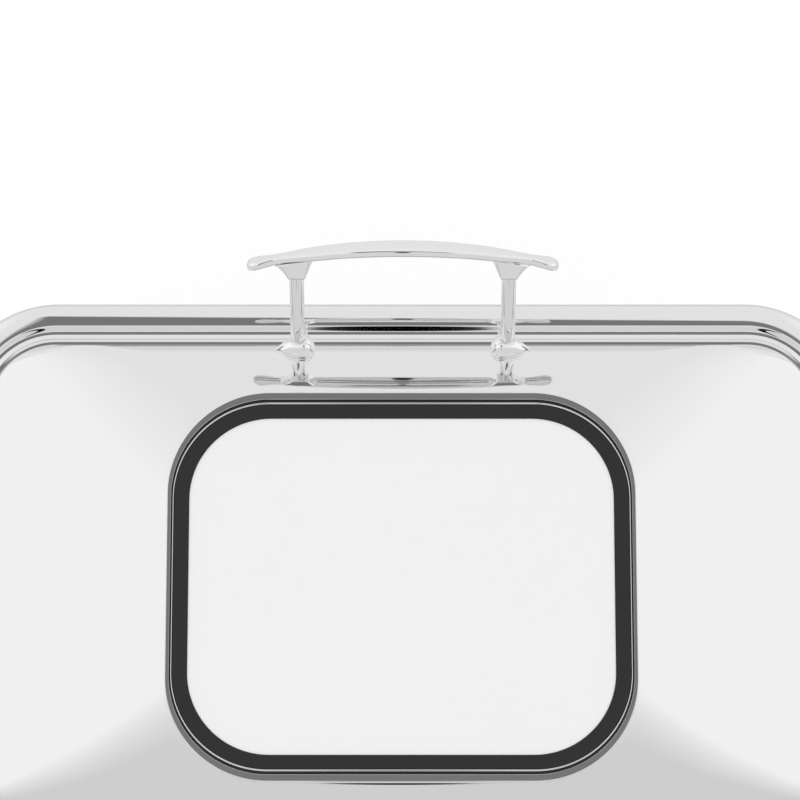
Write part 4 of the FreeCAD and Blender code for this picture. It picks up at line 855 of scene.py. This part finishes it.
# %% Handle
LEAN = math.radians(50)
STAND = (-159.574, 273.534)
HANDLE_X = -0.8
POST_X = 68.9
POST_RADIUS = 4.7
GRIP_UNDER = 71.7
GRIP_THICK = 5.0
ARCH = 430.0
GRIP_HALF = 101.0
GRIP_TIP = 1.4
GRIP_ROUNDS = (0.3, 0.52, 0.42)
ROUND_MOST = 0.4
TIP_HALF, TIP_THIN, TIP_GAP = 0.12, 0.02, 0.05
GRIP_STEPS = 44
TIP_STEPS = 12
GRIP_PLAN = (
    (0.0, 8.7), (28.0, 8.3), (45.0, 7.6), (57.0, 7.1), (68.0, 5.9),
    (76.0, 4.9), (83.0, 4.5), (90.0, 5.9), (95.3, 6.6),
)


def standing(points, x=0.0):
    """Leans points over onto the shoulder, x beside the middle."""
    leant = []
    for px, py, pz in points:
        y = STAND[0] + py * math.cos(LEAN) - pz * math.sin(LEAN)
        z = STAND[1] + py * math.sin(LEAN) + pz * math.cos(LEAN)
        leant.append((HANDLE_X + x + px, y, z))
    return leant


def under_grip(x):
    """Height of the grip's lower face at this place along it."""
    return GRIP_UNDER - ARCH + math.sqrt(ARCH ** 2 - x ** 2)


def smooth_between(knots, x):
    """A smooth curve through knots (place, value), without overshoot."""
    slopes = [(after[1] - here[1]) / (after[0] - here[0]) for here, after in zip(knots, knots[1:])]
    inner = [0.0 if a * b <= 0 else 2 * a * b / (a + b) for a, b in zip(slopes, slopes[1:])]
    bends = [0.0] + inner + [0.0]
    index = max(i for i in range(len(knots) - 1) if knots[i][0] <= x or i == 0)
    (x0, y0), (x1, y1) = knots[index], knots[index + 1]
    span = x1 - x0
    t = min(1.0, (x - x0) / span)
    return (y0 * (1 + 2 * t) * (1 - t) ** 2 + bends[index] * span * t * (1 - t) ** 2
            + y1 * t ** 2 * (3 - 2 * t) + bends[index + 1] * span * t ** 2 * (t - 1))


def grip_half_width(x):
    """Half the grip's width at this distance from its middle."""
    place, widest = GRIP_PLAN[-1]
    if x <= place:
        return smooth_between(GRIP_PLAN, x)
    return widest * math.sqrt(max(0.0, 1 - ((x - place) / (GRIP_HALF - place)) ** 2))


def grip_ring(x):
    """The grip's section at x, thinner over the last stretch before its tip."""
    half = max(TIP_HALF, grip_half_width(abs(x)))
    thick = GRIP_THICK * min(1.0, math.sqrt(max(TIP_THIN, (GRIP_HALF + TIP_GAP - abs(x)) / GRIP_TIP)))
    low = under_grip(x) + (GRIP_THICK - thick) / 2
    round_low, round_near, round_far = (min(share * thick, ROUND_MOST * half) for share in GRIP_ROUNDS)
    section = [(-half, low, round_low), (half, low, round_low), (half, low + thick, round_near),
               (-half, low + thick, round_far)]
    return [(x, y, z) for y, z in rounded(section, 8)]


stations = [GRIP_PLAN[-1][0] * step / GRIP_STEPS for step in range(GRIP_STEPS + 1)]
paddle = stations[-1]
for step in range(1, TIP_STEPS + 1):
    stations.append(paddle + (GRIP_HALF - paddle) * math.sin(math.pi / 2 * step / TIP_STEPS))
stations = [-x for x in reversed(stations[1:])] + stations
grip = skin([standing(grip_ring(x)) for x in stations])
make("lift_grip", [grip], plated, "lid", "mirror_steel", "handle_grip")

# %% [markdown]
# Posts, yokes and feet
#
# A yoke is a small block with soft corners: narrow where it takes the post, and wide where it meets the
# grip, whose lower face it follows. Its upper end leans out towards the grip's end. A foot is a leaf:
# pointed outward, with a wide round heel on the inner side. Its lower edge follows the lid's shoulder,
# and its top falls from the heel to the point.

# %% Posts, yokes, feet
YOKE_LOW = 54.0
YOKE_NECK = (5.7, 5.4)
YOKE_HALF = (12.5, 6.0)
YOKE_CORNER = (1.1, 3.3)
YOKE_EDGE = ((0.84, 0.0), (0.9, 0.1), (0.95, 0.3), (0.985, 0.6))
YOKE_SHIFT = 1.4
YOKE_ROUNDS = 14
YOKE_BITE = 0.05
FLARE = (1.2, 1.7)
LEAF_TIP = 15.0
LEAF_HALF = 9.4
LEAF_MIDDLE = -4.5
HEEL_LONG = 7.0
HEEL_RISE = 1.5
LEAF_UP = 8.0
TIP_UP = 2.2
LEAF_FALL = (0.75, 0.25)
LEAF_SOFT = 5.2
SOFT_MOST = 0.5
LEAF_WALL = 0.6
LEAF_LIFT = 0.05
LEAF_STEPS = 15
LEAF_ROUNDS = 12
COLLAR_STEPS = 5
COLLAR_GAP = 0.08
COLLAR_DEEP = 1.5


def yoke_rings(x, side):
    """Level outlines from the post's end to the grip's lower face."""
    rings = []
    for step in range(YOKE_ROUNDS + 1):
        share = step / YOKE_ROUNDS
        half_x, half_y = (neck + (half - neck) * share ** power
                          for neck, half, power in zip(YOKE_NECK, YOKE_HALF, FLARE))
        corner = YOKE_CORNER[0] + (YOKE_CORNER[1] - YOKE_CORNER[0]) * share
        ring = []
        for px, py, pz in level(half_x, half_y, corner, 0.0):
            px += side * YOKE_SHIFT * share ** 2
            top = under_grip(x + px) + YOKE_BITE
            ring.append((px, py, YOKE_LOW + (top - YOKE_LOW) * share))
        rings.append(ring)
    low = rings.pop(0)
    edge = [[(px * wide, py * wide, YOKE_LOW + up) for px, py, pz in low] for wide, up in YOKE_EDGE]
    return edge + rings


def leaf_outline():
    """The leaf's outline from its point round to its point again, the point at +X."""
    run = LEAF_TIP - LEAF_MIDDLE
    side_round = (run ** 2 + LEAF_HALF ** 2) / (2 * LEAF_HALF)
    sweep = math.asin(run / side_round)
    upper = []
    for step in range(LEAF_STEPS):
        angle = sweep * (1 - step / LEAF_STEPS)
        inward = side_round * (1 - math.cos(angle))
        upper.append((LEAF_MIDDLE + side_round * math.sin(angle), LEAF_HALF - inward))
    for step in range(LEAF_STEPS):
        angle = math.pi / 2 * step / LEAF_STEPS
        upper.append((LEAF_MIDDLE - HEEL_LONG * math.sin(angle), LEAF_HALF * math.cos(angle)))
    lower = [(x, -y) for x, y in reversed(upper[1:])]
    return upper + [(LEAF_MIDDLE - HEEL_LONG, 0.0)] + lower


def leaf_top(x):
    """Height of the leaf's top at this distance towards its point."""
    share = max(0.0, min(1.0, (x - POST_RADIUS) / (LEAF_TIP - POST_RADIUS)))
    heel = max(0.0, x / (LEAF_MIDDLE - HEEL_LONG))
    fall = share * LEAF_FALL[0] + LEAF_FALL[1] * share ** 2
    return LEAF_UP + (TIP_UP - LEAF_UP) * fall + HEEL_RISE * heel


def foot_rings(side):
    """The leaf from the shoulder up its side, over its edge and in to the post."""
    outline = leaf_outline()
    rings = [[(x, y, math.sqrt(SHOULDER ** 2 - y ** 2) - SHOULDER + LEAF_LIFT) for x, y in outline]]
    for step in range(LEAF_ROUNDS + 1):
        angle = math.pi / 2 * step / LEAF_ROUNDS
        ring = []
        for x, y in outline:
            inset = 1 - min(LEAF_SOFT / math.hypot(x, y), SOFT_MOST) * (1 - math.cos(angle))
            rise = leaf_top(x * inset) - LEAF_WALL
            ring.append((x * inset, y * inset, LEAF_WALL + rise * math.sin(angle)))
        rings.append(ring)
    edge = rings[-1]
    for step in range(1, COLLAR_STEPS + 1):
        share = step / COLLAR_STEPS
        ring = []
        for x, y, z in edge:
            reach = math.hypot(x, y)
            scale = 1 + ((POST_RADIUS + COLLAR_GAP) / reach - 1) * share
            ring.append((x * scale, y * scale, leaf_top(x * scale)))
        rings.append(ring)
    rings.append([(x, y, z - COLLAR_DEEP) for x, y, z in rings[-1]])
    return [[(side * x, y, z) for x, y, z in ring] for ring in rings]


post_profile = [
    (POST_RADIUS - 0.2, 0.1),
    (POST_RADIUS, 0.3),
    (POST_RADIUS, 20.0),
    (POST_RADIUS, YOKE_LOW - 0.3),
    (POST_RADIUS - 0.3, YOKE_LOW),
]
for name, side in (("left", -1), ("right", 1)):
    x = side * POST_X
    post = skin([standing(ring, x) for ring in lathe(post_profile)])
    yoke = skin([standing(ring, x) for ring in yoke_rings(x, side)])
    foot = skin([standing(ring, x) for ring in foot_rings(side)])
    make(f"lift_post_{name}", [post], mirror_upright, "lid", "mirror_steel", f"handle_post_{name}")
    make(f"lift_yoke_{name}", [yoke], plated, "lid", "mirror_steel", f"handle_yoke_{name}")
    make(f"lift_foot_{name}", [foot], plated, "lid", "mirror_steel", f"handle_foot_{name}")

# %% [markdown]
# Finishes on the frame's own pieces
#
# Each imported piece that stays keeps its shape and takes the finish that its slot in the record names.
# Only the fuel cups and their covers differ: they are satin steel too, and take the turned one.

# %% Dress the frame
FINISH_OF_SLOT = {
    "mirror_steel": mirror,
    "satin_steel": brushed,
    "clear_glass": glass,
    "black_rubber": rubber,
    "clear_silicone": silicone,
    "bush_bronze": bronze,
    "friction_fibre": fibre,
    "knob_black": resin,
    "fastener_steel": fastener,
}

for name, piece in nodes.items():
    for place in piece.material_slots:
        place.material = FINISH_OF_SLOT[place.material.name.split(".")[0]]
    if "fuel_cup" in name or "snuffer" in name:
        piece.material_slots[0].material = turned
print("dressed", len(nodes), "pieces")
